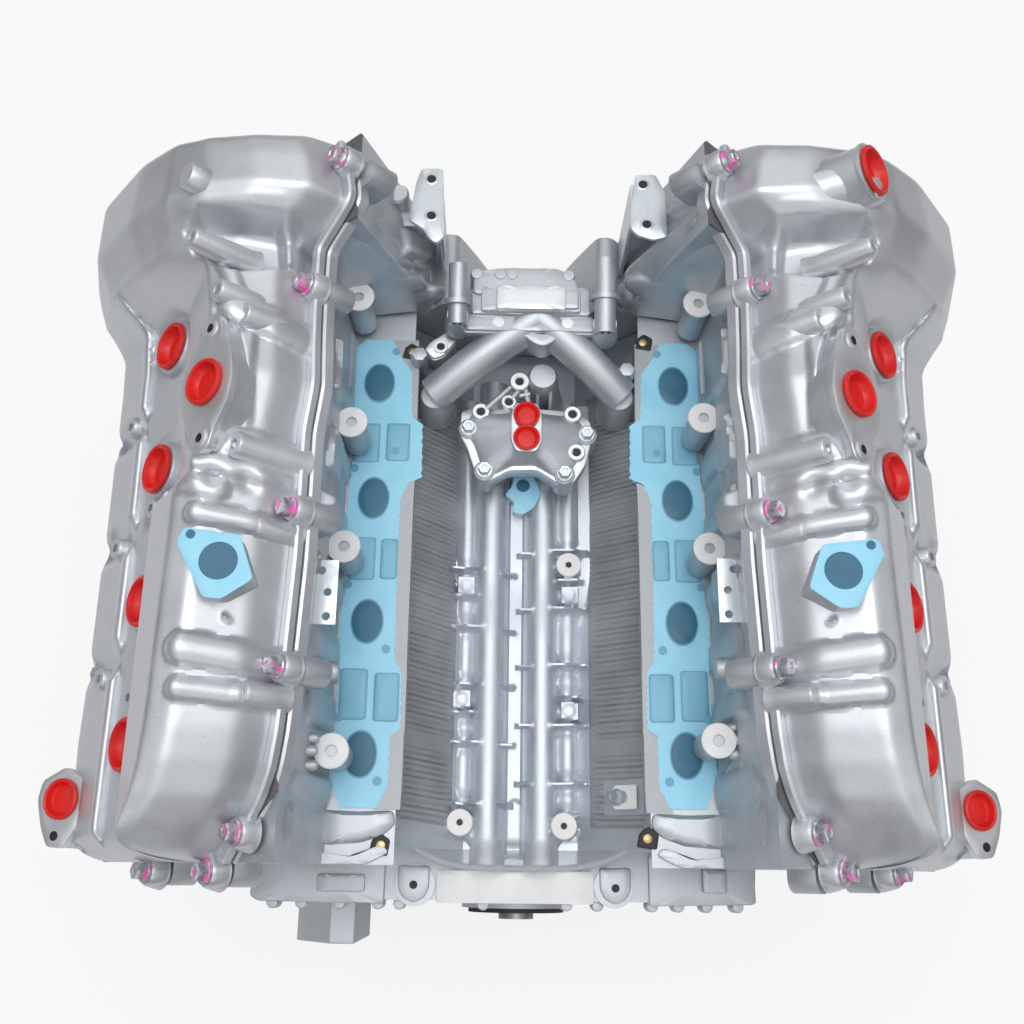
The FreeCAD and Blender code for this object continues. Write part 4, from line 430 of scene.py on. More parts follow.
# a plate that lies level: an outline in x and y between two heights
def tile(loop, low, high, hole=None, rim=1.0, at=(0, 0, 0)):
    return plate(loop, low, high, at, (1, 0, 0), (0, 1, 0), hole, rim)


# the four corners of a rectangle
def box(x1, x2, y1, y2):
    return np.array([(x1, y1), (x2, y1), (x2, y2), (x1, y2)], float)


# grids of x, y and z spread over each other and stacked to points
def spread(x, y, z):
    return np.stack(np.broadcast_arrays(x, y, z), -1)


# two matching sheets of points, top and bottom, closed along their four edges
def closedSheet(top, bottom):
    rows, columns = top.shape[:2]
    count = rows * columns
    upper = gridFaces(rows, columns)
    lower = upper[:, ::-1] + count
    index = np.arange(count).reshape(rows, columns)
    edge = np.concatenate([index[0], index[1:, -1], index[-1, -2::-1], index[-2:0:-1, 0]])
    after = np.roll(edge, -1)
    sides = np.stack([edge, edge + count, after + count, after], -1)
    return np.concatenate([top.reshape(-1, 3), bottom.reshape(-1, 3)]), [upper, lower, sides]


# a smooth step: t squared times 3 less 2t, with t the share of the way from low to high
def ease(low, high, value):
    t = np.clip((value - low) / (high - low), 0, 1)
    return t * t * (3 - 2 * t)


# the distance of each place from the segment a b
def toSegment(x, y, a, b):
    dx, dy = b[0] - a[0], b[1] - a[1]
    t = np.clip(((x - a[0]) * dx + (y - a[1]) * dy) / (dx * dx + dy * dy), 0, 1)
    return np.hypot(x - a[0] - t * dx, y - a[1] - t * dy)


# a half-round ridge: the height times the root of one less the squared share of the radius
def halfRound(distance, radius, height):
    return height * np.sqrt(np.clip(1 - (distance / radius) ** 2, 0, 1))


# the distance inside a convex outline, negative outside
def insideOf(x, y, corners):
    corners = np.asarray(corners, float)
    middle = corners.mean(0)
    depth = np.full(np.shape(x), 1e9)
    for a, b in zip(corners, np.roll(corners, -1, 0)):
        edge = b - a
        normal = np.array([-edge[1], edge[0]]) / np.hypot(*edge)
        if (middle - a) @ normal < 0:
            normal = -normal
        depth = np.minimum(depth, (x - a[0]) * normal[0] + (y - a[1]) * normal[1])
    return depth


# a bank's two directions square to the crank: outward along its cylinders, and inward to the valley
def bankAxes(side):
    outward = np.array([side * slope, 0, slope])
    inward = np.array([-side * slope, 0, slope])
    return outward, inward


# the point t inward and n outward from the crank's line, at y along it
def bankPoint(side, t, y, n):
    return np.array([side * (n - t) * slope, y, (n + t) * slope])


# cam covers
coverValues = {
    "seam": 351.4, "reach": 379.0, "front": -237.0, "back": 300.0, "frontRound": 30.0, "backRound": 20.0,
    "counts": (8, 8, 30, 22, 12, 26, 10, 20, 14), "wells": (154.0, 50.0, -54.0, -158.0), "wellTop": 401.0,
    "wellRoof": 397.0,
    "seamLine": ((-237, 62), (-223, 74), (-209, 88), (-195, 100), (-177, 109), (-153, 114), (-131, 116),
                 (-96, 117), (-33, 121), (61, 120), (96, 127), (130, 124), (173, 122), (212, 122),
                 (226, 140), (240, 158), (271, 150), (300, 138)),
    "outerLine": ((-237, -96), (-222, -110), (-150, -116), (-104, -114), (-92, -102), (-80, -114), (-8, -115),
                  (4, -102), (16, -114), (86, -115), (97, -102), (110, -114), (196, -116), (225, -134),
                  (252, -146), (280, -144), (300, -128)),
    # the section at places along the crank's line: (place, outer foot, corners (inward, outward), inner foot)
    "sections": (
        (-237, -114, ((-114, 378), (-101, 390), (-40, 396), (22, 398), (29, 419), (84, 433), (102, 423),
                      (118, 384)), 120),
        (4, -114, ((-114, 378), (-101, 390), (-40, 396), (22, 398), (29, 419), (84, 433), (102, 423),
                   (118, 384)), 120),
        (22, -114, ((-114, 378), (-101, 390), (-40, 396), (20, 398), (40, 405), (97, 428), (107, 414),
                    (119, 386)), 121),
        (140, -114, ((-114, 378), (-101, 391), (-40, 398), (20, 400), (42, 408), (95, 427), (107, 414),
                     (119, 386)), 121),
        (172, -114, ((-114, 379), (-101, 392), (-46, 400), (18, 402), (46, 412), (88, 426), (105, 414),
                     (121, 388)), 123),
        (206, -116, ((-116, 384), (-104, 410), (-58, 434), (10, 441), (50, 440), (92, 432), (112, 416),
                     (128, 390)), 132),
        (240, -140, ((-140, 376), (-118, 416), (-58, 448), (14, 456), (62, 453), (100, 441), (132, 418),
                     (156, 388)), 161),
        (300, -146, ((-146, 375), (-120, 415), (-58, 447), (20, 455), (66, 450), (102, 438), (130, 416),
                     (154, 388)), 160),
    ),
    # ribs as (x, y of both ends, radius, height), on the box half and on the half next to the chain end
    "boxRibs": ((227, -12, 186, -15, 8.5, 7.5), (181, -16, 160, -15, 8.0, 9.5),
                (228, -104, 176, -109, 12.0, 9.0), (228, -130, 194, -132, 8.5, 7.5),
                (189, -132, 160, -131, 8.5, 10.0)),
    "middleRibs": ((214, 143, 168, 132, 13.0, 7.0), (210, 42, 164, 36, 13.0, 7.0), (232, 26, 172, 20, 8.0, 6.5),
                   (238, 10, 216, 6, 9.0, 5.0)),
    # towers as (inward, along, low, high, radius)
    "towers": ((100, 190, 395, 449, 8.5), (108, 153, 385, 429, 8.5), (117, 137, 352, 412, 9.5),
               (119, 37, 352, 410, 9.5), (118, -17, 352, 388, 8.0), (118, -131, 352, 386, 8.0)),
    "outerBosses": (104.0, 0.0, -104.0), "brackets": (16.0, -126.0),
}


# The surface of a cover: column i runs along a section from its outer foot over the roof to its inner foot,
# row j runs along the crank's line, and each point is lifted by the ribs, panels and pockets at its place
def makeCover(side, v):
    mirror = bankShift[side]
    y = np.concatenate([v["front"] + np.array([0, 0.2, 0.6, 1.2, 2.0, 3.0, 4.2, 5.6]),
                        np.arange(v["front"] + 7.4, v["back"] - 6.5, 2.0),
                        v["back"] - np.array([6.0, 4.6, 3.4, 2.4, 1.5, 0.8, 0.3, 0])])
    local = y - mirror
    places = np.array([section[0] for section in v["sections"]], float)
    corners = np.array([((first, v["seam"]), *middle, (last, v["seam"]))
                        for _, first, middle, last in v["sections"]], float)
    turn = np.clip(np.searchsorted(places, local, side="right") - 1, 0, len(places) - 2)
    part = np.clip((local - places[turn]) / (places[turn + 1] - places[turn]), 0, 1)
    part = ease(0, 1, part)[:, None, None]
    rows = corners[turn] * (1 - part) + corners[turn + 1] * part
    columns = []
    for k, count in enumerate(v["counts"]):
        share = np.linspace(0, 1, count, endpoint=False)[None, :, None]
        columns.append(rows[:, k:k + 1] * (1 - share) + rows[:, k + 1:k + 2] * share)
    section = np.concatenate(columns + [rows[:, -1:]], 1)
    for _ in range(5):
        section[:, 1:-1] = 0.25 * section[:, :-2] + 0.5 * section[:, 1:-1] + 0.25 * section[:, 2:]
    t, n = section[..., 0], section[..., 1]
    seamLine, outerLine = np.array(v["seamLine"], float), np.array(v["outerLine"], float)
    inner = np.interp(local, seamLine[:, 0], seamLine[:, 1])[:, None] - rows[:, -1, :1]
    outer = np.interp(local, outerLine[:, 0], outerLine[:, 1])[:, None] - rows[:, 0, :1]
    for edge in (inner, outer):
        edge[2:-2] = (edge[:-4] + edge[1:-3] + edge[2:-2] + edge[3:-1] + edge[4:]) / 5
    t = t + inner * ease(40, 112, t) + outer * ease(-60, -108, t)
    fromFront = np.clip((y - v["front"]) / v["frontRound"], 0, 1)[:, None]
    fromBack = np.clip((v["back"] - y) / v["backRound"], 0, 1)[:, None]
    rise = (1 - (1 - fromFront) ** 3.2) ** (1 / 2.6) * (1 - (1 - fromBack) ** 3.0) ** (1 / 3.0)
    n = v["seam"] + (n - v["seam"]) * rise
    x, z = (n - t) * slope, (n + t) * slope
    yy = np.broadcast_to(y[:, None], x.shape)
    dx, dz = np.gradient(x, axis=1), np.gradient(z, axis=1)
    facing = ease(0.1, 0.45, -dx / np.maximum(np.hypot(dx, dz), 1e-6))
    lift = coverDetail(v, x, yy - mirror, t)
    nearWell = np.min([np.hypot(t, yy - mirror - place) for place in v["wells"]], axis=0)
    n = np.where(t < 40, n - np.maximum(n - v["wellRoof"], 0) * ease(31, 24, nearWell), n)
    x, z = (n - t) * slope, (n + t) * slope
    lift = lift * ease(22, 27, nearWell)
    z = z + lift * facing * ease(0, 10, yy - v["front"]) * ease(0, 6, v["back"] - yy)
    points = spread(side * np.minimum(x, v["reach"]), yy, z)
    return points.reshape(-1, 3), [gridFaces(*x.shape, True)]


# Height added at each place: half-round ribs fall off as the root of one less the squared distance,
# flat panels and pockets step up or down over a soft edge
def coverDetail(v, x, y, t):
    lift = np.zeros_like(x)

    def ribbed(lift, ribs):
        for x1, y1, x2, y2, radius, height in ribs:
            lift = np.maximum(lift, halfRound(toSegment(x, y, (x1, y1), (x2, y2)), radius, height))
        return lift

    def flat(corners, height, soft):
        return height * ease(-soft * 0.3, soft, insideOf(x, y, corners))

    # front box: ribs with their sockets, the pump's recess, its little panels
    box = ease(12, 4, y)
    lift += box * flat(((233, -32), (227, -58), (199, -86), (150, -90), (150, -22), (226, -24)), -7.0, 3.0)
    lift += box * flat(((194, -30), (171, -29), (168, -65), (189, -66)), 3.5, 1.6)
    lift += box * 4.5 * ease(8.5, 7, toSegment(x, y, (199, -77), (166, -75)))
    lift = ribbed(lift, v["boxRibs"])
    edge = np.interp(y, (-226, -205, -190, -150, -143, -142), (206, 186, 178, 178, 176, 140))
    lift += -4.5 * ease(1.5, -1.5, x - edge) * ease(-140, -144, y)
    # middle: panel sunk between thick rims, towers' roots, the wavy ridge before the box
    lift += -5.5 * ease(0, 9, insideOf(x, y, ((199, 126), (168, 122), (166, 60), (197, 56))))
    lift += 3.0 * ease(9, 3, np.abs(x - 205)) * ease(50, 62, y) * ease(134, 122, y)
    lift = ribbed(lift, v["middleRibs"])
    lift += 1.6 * np.sin(x * 0.28) * ease(10, 3, np.abs(y - 14)) * ease(160, 175, x)
    # the oval opening's floor
    lift += -9.0 * ease(1.15, 0.9, np.hypot((x - 230) / 25, (y - 83) / 52))
    # chain end: a deep pocket with its rim, a smaller one by the seam, and the ridges between the towers
    lift += flat(((262, 214), (250, 226), (188, 222), (184, 186), (222, 176), (254, 196)), -17.0, 9.0)
    lift += flat(((178, 226), (160, 222), (164, 188), (180, 186)), -9.0, 7.0)
    lift = np.maximum(lift, -20 + 20 * ease(7, 2, toSegment(x, y, (262, 208), (228, 184))))
    lift += halfRound(toSegment(x, y, (228, 184), (214, 156)), 7.0, 5.0)
    lift += 2.2 * ease(8, 2, np.abs(y - 229)) * ease(170, 190, x) * ease(275, 255, x)
    # outer side: rounded tubes along the wells and the hollows between the scallops
    waves = np.interp(y, (-232, -218, -108, -92, -76, -12, 4, 20, 82, 97, 112, 190, 205),
                      (0, 1, 1, 0, 1, 1, 0, 1, 1, 0, 1, 1, 0))
    lift += halfRound(t + 46, 10.0, 9.0) * waves
    lift += -11.0 * (1 - waves) * ease(-36, -50, t) * ease(205, 190, y) * ease(-236, -228, y)
    return lift


# pieces that stand on a cover: towers with sockets, collars, bosses and brackets, each a turned profile,
# a bar or a thin wedge
def coverExtras(side, v):
    shift = bankShift[side]
    outward, inward = bankAxes(side)
    chunks, dark = [], []
    # towers along the bank's line, with a socket in each top and a dark disc of painted shade in it
    for t, y, low, high, radius in v["towers"]:
        foot = bankPoint(side, t, y + shift, 0)
        chunks.append(lathe([(0, low), (radius + 3, low), (radius + 1, low + 8), (radius, high - 2),
                             (radius - 1, high), (4.2, high), (3.8, high - 1), (3.8, high - 9), (0, high - 9)],
                            foot, outward))
        dark.append(disc(foot, 3.7, high - 8.8, high - 6.5, 0, outward, 14))
    # round boss with its fin on the chain end
    chunks.append(lathe([(0, 360), (13, 360), (12, 440), (10.5, 451), (9.5, 452.5), (0, 452.5)],
                        bankPoint(side, 88, 246, 0), outward))
    # collars of the plug wells
    for y in v["wells"]:
        centre = bankPoint(side, 0, y + shift, 0)
        chunks.append(lathe([(17.2, 380), (24, 380), (22.4, 400), (21.6, 402), (17.8, 402), (17.2, 401),
                             (17.2, 380)], centre, outward, 40))
    # bolt bosses between the wells on the outer side
    for y in v["outerBosses"]:
        chunks.append(lathe([(0, 372), (9.5, 372), (8.5, 396), (7.5, 398), (3.4, 398), (3.2, 392), (0, 392)],
                            bankPoint(side, -64, y + shift, 0), outward))
    # gusseted brackets on the edge of the box
    for y in v["brackets"]:
        foot = bankPoint(side, 20, y + shift, 401)
        chunks.append(tube(foot - inward * 12 + outward * 1, foot + inward * 22 + outward * 12, 4.2, 14, 0.8))
        chunks.append(lathe([(0, -16), (7.5, -16), (7.0, 6), (6, 7), (3, 7), (3, 2), (0, 2)],
                            foot - inward * 14, outward, 20))
        for lean in (-1, 1):
            top = foot + inward * 24 + along * lean * 13
            blade = np.array([foot - inward * 10 - outward * 3, foot + inward * 14 + outward * 10, top])
            thick = np.cross(blade[1] - blade[0], blade[2] - blade[0])
            thick = thick / np.linalg.norm(thick) * 1.1
            corners = np.concatenate([blade - thick, blade + thick])
            chunks.append((corners, [np.array([(0, 2, 1), (3, 4, 5)]),
                                     np.array([(0, 1, 4, 3), (1, 2, 5, 4), (2, 0, 3, 5)])]))
    return chunks, dark


# the raised edge along the joint: a rounded strip carried along the seam
def seamStrip(side, v, offset, low, high, width):
    line = np.array(v["seamLine"], float)
    y = np.arange(line[0, 0] + 2, line[-1, 0] - 2, 3.0)
    t = np.interp(y, line[:, 0], line[:, 1]) + offset
    for _ in range(3):
        t[1:-1] = (t[:-2] + 2 * t[1:-1] + t[2:]) / 4
    middle = (low + high) / 2
    path = np.stack([side * (middle - t) * slope, y + bankShift[side], (middle + t) * slope], -1)
    w, h, cut = width / 2, (high - low) / 2, 1.6
    corner = np.array([(w, h - cut), (w - cut, h)])
    profile = np.concatenate([corner, corner[::-1] * [-1, 1], -corner, corner[::-1] * [1, -1]])
    return sweep(path, profile, bankAxes(side)[0])


for side in (left, right):
    label = sideNames[side]
    makePiece(f"cam_cover_{label}_skin", [makeCover(side, coverValues)], "cover",
              stands=[f"cam_cover_{label}"], sharp=60)
    extras, holes = coverExtras(side, coverValues)
    makePiece(f"cam_cover_{label}_bosses", extras, "cover")
    # dark discs of painted shade in the towers' sockets
    makePiece(f"cam_cover_{label}_sockets", holes, "dark")
    makePiece(f"cam_cover_{label}_rim", [seamStrip(side, coverValues, 3.0, 351.8, 359.5, 9.0)], "cover")
print("covers made")


# valley between the banks
valleyValues = {
    "floor": 135.6, "rise": 12.9, "step": 1.7, "back": 168.0, "front": -241.0, "halfWidth": 104.0, "bow": 34.0,
    "tubes": (-28.0, 17.0), "tubeRadius": 14.0, "sideTubes": (-49.0, 39.0), "sideRadius": 9.5,
    "leftFins": ((9, 19), (-14, 13), (-40, 19), (-89, 19), (-113, 13), (-138, 19), (-188, 19)),
    "rightFins": ((26, 19), (0, 13), (-24, 19), (-72, 19), (-99, 13), (-123, 19), (-171, 19), (-197, 10)),
    "leftRibs": (4, -43, -91, -140, -189), "rightRibs": (23, -25, -74, -123, -172),
    "bosses": ((-49, -6), (-51, -102), (40, -13), (40, -111)), "washers": ((39, 12), (-50, -203), (35, -205)),
    "ripplePitch": 4.6, "rippleHeight": 3.0, "slopeRise": 88.6,
}


# how far the floor lies above its low half at the pulley end
def valleyRise(y, v):
    return v["rise"] * ease(-60, 15, y)


# the floor's end at the pulley end, bowed by the fourth power of the share of the half width
def valleyFront(x, v):
    return v["front"] + v["bow"] * (np.abs(x) / v["halfWidth"]) ** 4


# Height over the floor at each place: half tubes along the crank's line, thin fins and ribs across it,
# square bosses, and the banks' slopes rising at the sides
def valleyHeight(x, y, v):
    low = v["floor"] + valleyRise(y, v)
    z = low
    for centre in v["tubes"]:
        z = np.maximum(z, low + halfRound(x - centre, v["tubeRadius"], v["tubeRadius"] - 0.4))
    strip = ease(9.0, 7.6, np.abs(x + 5.5)) * ease(-232, -226, y)
    z = np.maximum(z, low + 1.5 * strip + 4.2 * ease(1.6, 0.6, np.abs(np.abs(x + 5.5) - 7.2)) * strip)
    for k, centre in enumerate(v["sideTubes"]):
        fins = v["leftFins"] if k == 0 else v["rightFins"]
        nearest = np.min([np.abs(y - place) for place, _ in fins], axis=0)
        radius = v["sideRadius"] - 2.2 * ease(14, 2, nearest)
        z = np.maximum(z, low - 1 + halfRound(x - centre, radius, radius) * ease(-214, -208, y))
        for place, reach in fins:
            blade = ease(2.1, 1.2, np.abs(y - place)) * ease(reach + 1.5, reach - 4, np.abs(x - centre))
            z = np.maximum(z, low + 13.5 * blade)
            web = ease(9, 1, place - y) * ease(0, 1, place - y + 1) * ease(reach - 4, 2, np.abs(x - centre))
            z = np.maximum(z, low + 10.5 * web)
    for places, centre in ((v["leftRibs"], -13.5), (v["rightRibs"], 2.5)):
        for place in places:
            blade = ease(2.0, 1.2, np.abs(y - place)) * ease(8.5, 5.5, np.abs(x - centre))
            z = np.maximum(z, low + 12.5 * blade)
    for cx, cy in v["bosses"]:
        square = ease(8.4, 7.4, np.maximum(np.abs(x - cx), np.abs(y - cy)))
        dish = ease(4.6, 3.6, np.abs(np.hypot(x - cx, y - cy) - 0.5) - 0.5)
        z = np.maximum(z, low + 11.5 * square + 0.9 * dish * square)
    for cx, cy in v["washers"]:
        z = np.maximum(z, low + 14.5 * ease(11.5, 10.5, np.hypot(x - cx, y - cy)))
        foot = (cx * 0.45, -232) if cy < -100 else (cx, cy - 14)
        z = np.maximum(z, low + halfRound(toSegment(x, y, (cx, cy), foot), 5.0, 9.0))
    z = np.maximum(z, low + 4.0 * ease(10, 8, np.hypot(x + 5, (y + 206) * 0.4)) * ease(-225, -215, y))
    z = np.maximum(z, np.where(np.abs(x) > 46, v["slopeRise"] + np.abs(x), z))
    lip = y - valleyFront(x, v)
    return z - 7 * ease(26, 4, lip) - 8 * ease(7, 0, lip) ** 2


# the valley's sheet: rows run from the bowed front to the back, closer together at the front, with its
# height from valleyHeight and a stepped underside
def makeValley(v):
    x = np.linspace(-v["halfWidth"], v["halfWidth"], int(2 * v["halfWidth"] / v["step"]))
    share = np.concatenate([np.linspace(0, 0.03, 10, endpoint=False),
                            np.linspace(0.03, 1, int((v["back"] - v["front"]) / v["step"]))])[:, None]
    start = valleyFront(x, v)
    y = start + share * (v["back"] - start)
    x = np.broadcast_to(x, y.shape)
    top = spread(x, y, valleyHeight(x, y, v))
    under = spread(x, y, np.where(y < -200, 112.4, 125.0) + np.maximum(0, np.abs(x) - 30) * 0.3)
    return closedSheet(top, np.minimum(under, top - [0, 0, 1.0]))


# rippled slope: straight up the bank's side, with a rounded wave repeated along the crank's line
def makeRipples(side, v):
    y = np.arange(-206.0, 176.0, 0.55)[:, None]
    up = np.linspace(0, 1, 15)[None, :]
    x = 57 + up * 44
    leaning = y + 5.0 * up * (1 if side == left else -0.2)
    calm = 1 - 0.85 * ease(9, 4, np.abs(y + 142)) - 0.85 * ease(12, 5, np.abs(y - 62))
    wave = (0.5 + 0.5 * np.cos(y * 2 * math.pi / v["ripplePitch"])) ** 0.4 * np.clip(calm, 0, 1)
    z = x + v["slopeRise"] + 0.3 + (0.5 + v["rippleHeight"] * wave) * ease(0, 0.12, up)
    if side == right:
        z -= 7.0 * ease(15, 12, np.abs(leaning + 183)) * ease(66, 70, x)
    top = spread(side * x, leaning, z)
    return closedSheet(top, top - [0, 0, 3.0])


rings, holes = [], []
for x, y in valleyValues["washers"]:
    centre = (x, y, valleyRise(y, valleyValues))
    rings.append(lathe([(2.6, 149.6), (10.6, 149.6), (10.6, 151.6), (10.0, 152.2), (3.2, 152.2), (2.6, 151.6),
                        (2.6, 149.6)], centre, count=36))
    # a dark disc in each ring's hole, as painted shade
    holes.append(disc(centre, 2.8, 149.8, 151.2, 0.2, count=16))
makePiece("cylinder_block_valley", [makeValley(valleyValues)], "block", sharp=50)
makePiece("cylinder_block_ripples", [makeRipples(side, valleyValues) for side in (left, right)], "rough",
          sharp=70)
makePieces((rings, holes), ("valley_rings", "white"), ("valley_ring_hole_shade", "dark"))
print("valley made")


# masking films on the intake ports
filmValues = {
    "ports": (156.0, 52.0, -52.0, -156.0), "portX": 126.0, "portHalf": (12.2, 17.0), "face": 217.2,
    "lipStart": 92.4,
    "shift": {left: 0.0, right: 2.0}, "ends": (-196.0, 197.0),
    "inner": ((197, 116), (186, 112), (167, 99), (125, 97), (119, 88), (71, 87), (66, 98), (51, 104), (-1, 104),
              (-83, 103), (-92, 97), (-136, 96), (-142, 104), (-180, 104), (-196, 112)),
    "outer": ((197, 140), (186, 150), (160, 151), (120, 148), (95, 144), (60, 147), (10, 148), (-20, 144),
              (-50, 148), (-100, 146), (-130, 147), (-170, 149), (-196, 140)),
    "windows": ((108, 102, 10, 34), (134, 101, 11, 35), (111, 0, 7, 34), (133, 0, 11, 36), (108, -112, 10, 38),
                (134, -110, 11, 40)),
    "holes": ((186, 113), (94, 110), (-74, 110), (-176, 112), (78, 143), (-22, 143), (-128, 144)),
}


# A film as a ruled sheet between its inner and outer edge, both wavy by a product of sines, with oval wells
# over the ports and windows as rounded plates; the second list of each pair is a little larger. The wells,
# windows, larger rims and discs over the bolt holes are the film painted darker: painted shade of the ports,
# pockets and holes under it
def makeFilm(side, v):
    wells, windows, shadeRims = [], [], []
    shift, face = v["shift"][side], v["face"]
    inner, outer = (np.array(sorted(v[key]), float) for key in ("inner", "outer"))
    y = np.linspace(*v["ends"], 260)[:, None]
    near = np.interp(y, inner[:, 0], inner[:, 1]) + 0.7 * np.sin(y * 0.9) * np.sin(y * 0.23)
    far = np.interp(y, outer[:, 0], outer[:, 1]) + 0.6 * np.sin(y * 0.7)
    across = np.linspace(0, 1, 16)[None, :]
    x = side * (near + (far - near) * across)
    top = spread(x, y + shift, face + 0.45 + 0.25 * np.sin(y * 0.11) * np.sin(across * 9))
    sheet = closedSheet(top, spread(x, y + shift, face - 1.1))
    oval = circle(1.0, 56) * v["portHalf"]
    # over each port a dark oval and a slightly larger rim round it, painted shade of the port under the film
    for port in v["ports"]:
        for grown, high, chunks in ((1.0, 1.05, wells), (1.09, 0.85, shadeRims)):
            chunks.append(tile(oval * grown, face - 1, face + high, rim=0.15,
                               at=(side * v["portX"], port + shift, 0)))
    # each recessed pocket as a darker window inside a darker rim, painted shade
    for x, y, half, length in v["windows"]:
        for inset, chunks in ((0, shadeRims), (1, windows)):
            wide, tall = half - 1.6 * inset, length / 2 - inset
            chunks.append(tile(roundedLoop(box(-wide, wide, -tall, tall), 1.5, 3), 0, 0.35 + 0.15 * inset,
                               rim=0.15, at=(side * x, y + shift, face + 0.5)))
    # darker discs of the film over the bolt holes, painted shade
    shadeRims += [disc((side * x, y + shift, 0), 3.4, face, face + 1.05, count=20) for y, x in v["holes"]]
    return [sheet], wells, windows, shadeRims


# the ports' face between the film and the ripples: a strip from the slope to the film's inner edge
def makeLip(side, v):
    inner = np.array(sorted(v["inner"]), float)
    y = np.arange(-197.0, 199.0, 1.5)[:, None]
    share = np.array([0, 0.06, 0.2, 0.5, 0.8, 1.0])[None, :]
    reach = np.interp(y, inner[:, 0], inner[:, 1]) + 2.0
    fall = 5 * (share < 0.03) + 1.2 * np.abs(share - 0.06) * (share < 0.1)
    top = spread(side * (v["lipStart"] + (reach - v["lipStart"]) * share), y,
                 v["face"] + 0.05 - fall + 0.08 * np.sin(y * 1.37) * ease(0.1, 0.3, share))
    return closedSheet(top, top - [0, 0, 1.5])


films = [a + b for a, b in zip(*(makeFilm(side, filmValues) for side in (left, right)))]
makePieces(films, ("intake_port_gaskets_film", "blue", "intake_port_gaskets"),
           ("intake_port_well_shade", "deepBlue"), ("intake_port_window_shade", "paleBlue"),
           ("intake_port_rim_shade", "midBlue"))
makePiece("cylinder_head_lips", [makeLip(side, filmValues) for side in (left, right)], "rough")
print("films made")


# bolts, caps and rings
boltValues = {
    "seat": 365.3,
    "spots": ((158, 272), (127, 176), (127, -1), (127, -112), (92, -218), (60, -243), (-20, -243), (-124, -90),
              (-124, 0), (-124, 104), (-156, 262)),
    "clip": (65.1, -183.0, 181.0), "clipBolt": (66.4, -183.0, 175.0),
    # a dished red cap: a thick rolled rim round a sunken floor
    "cap": ((0, -6), (15.8, -6), (16.2, 0.4), (18.6, 0.6), (19.6, 1.6), (19.2, 3.4), (17.6, 4.2), (16.0, 3.4),
            (15.2, 0.8), (14.2, -2.6), (12.6, -4.2), (5.0, -3.4), (0, -3.2)), "capRadius": 19.6,
}


# a flanged bolt: flange, hexagon and the dimple in its top, turned from a profile
def flangedBolt(centre, axis, scale=1.0):
    flange = np.array([(0, 0), (8.6, 0), (8.6, 1.4), (7.8, 2.2), (0, 2.2)])
    head = np.array([(0, 2), (6.6, 2), (6.6, 8.2), (5.9, 9.2), (3.2, 9.2), (2.6, 8.4), (0, 8.4)])
    return [lathe(flange * scale, centre, axis, 24), lathe(head * scale, centre, axis, 24, 6)]


# a red shipping cap: the profile scaled to the radius and turned
def redCap(centre, axis, radius, count=44):
    scale = radius / boltValues["capRadius"]
    return lathe(np.array(boltValues["cap"]) * scale, centre, axis, count)


bolts, ears, caps = [], [], []
for side in (left, right):
    shift = bankShift[side]
    outward, inward = bankAxes(side)
    for t, y in boltValues["spots"]:
        centre = bankPoint(side, t, y + shift, boltValues["seat"])
        bolts += flangedBolt(centre, outward)
        reach = 30 if t > 100 else 12
        ears.append(lathe([(0, -reach), (8.0, -reach), (8.4, -13), (10.8, -12), (10.8, -2.2), (9.6, -0.1),
                           (0, -0.1)], centre, outward))
        ears.append(lathe([(0, -14), (13.5, -14), (12, -8), (10.4, -3), (0, -3)], centre - inward * 3, outward))
    for y in coverValues["wells"]:
        caps.append(redCap(bankPoint(side, 0, y + shift, coverValues["wellTop"] + 0.8), outward,
                           boltValues["capRadius"], 48))
outward, inward = bankAxes(right)
tab = plate(roundedLoop([(-13, -4), (-9, -9.5), (13, -9.5), (13, 9.5), (-9, 9.5), (-13, 4)], 1.3, 2), 0, 1.4,
            bankPoint(right, *boltValues["clip"]), outward, along, rim=0.5)
tabBolt = flangedBolt(bankPoint(right, *boltValues["clipBolt"]), inward, 0.8)
makePieces((bolts, ears, caps, [tab], tabBolt),
           ("cover_bolts_heads", "bolt", "cover_bolts"), ("cam_cover_ears", "cover"),
           ("spark_plug_well_caps_dished", "red", "spark_plug_well_caps"), ("wiring_clip_plate", "white"),
           ("wiring_clip_bolt", "zinc"))
print("fasteners made")


# openings of the cam covers, with their flanges and caps
portValues = {
    "oval": (230.0, 83.0, 373.0), "lean": 35.0, "ovalDepth": 25.0, "lug": 42.0,
    "ovalLoop": ((0, -54), (9, -51), (13, -37), (24, -18), (27, 0), (24, 18), (13, 37), (9, 51), (0, 54),
                 (-9, 51), (-13, 37), (-24, 18), (-27, 0), (-24, -18), (-13, -37), (-9, -51)),
    "pump": (208.0, -47.0, 375.0), "pumpLoop": ((25, 23), (-13, 18), (-24, -12), (-4, -26), (8, -25), (29, 12)),
    "pumpHole": 13.0, "neck": (96.0, 258.0, 451.4), "corner": (-104.0, -192.0, 385.2), "outletLean": 20.0,
    "outletRise": 15.0, "coolerPorts": ((0, 126.0, 225.6), (0, 105.0, 225.6)),
    "pearLoop": ((-23, 0), (-20, 14), (0, 24), (20, 14), (23, 0), (17, -20), (9, -35), (-5, -36), (-15, -22)),
}


# the directions of a face that leans away from the valley: its normal and its level edge
def leaningFace(side, degrees):
    lean = math.radians(degrees)
    return (np.array([side * math.sin(lean), 0, math.cos(lean)]),
            np.array([math.cos(lean), 0, -side * math.sin(lean)]))


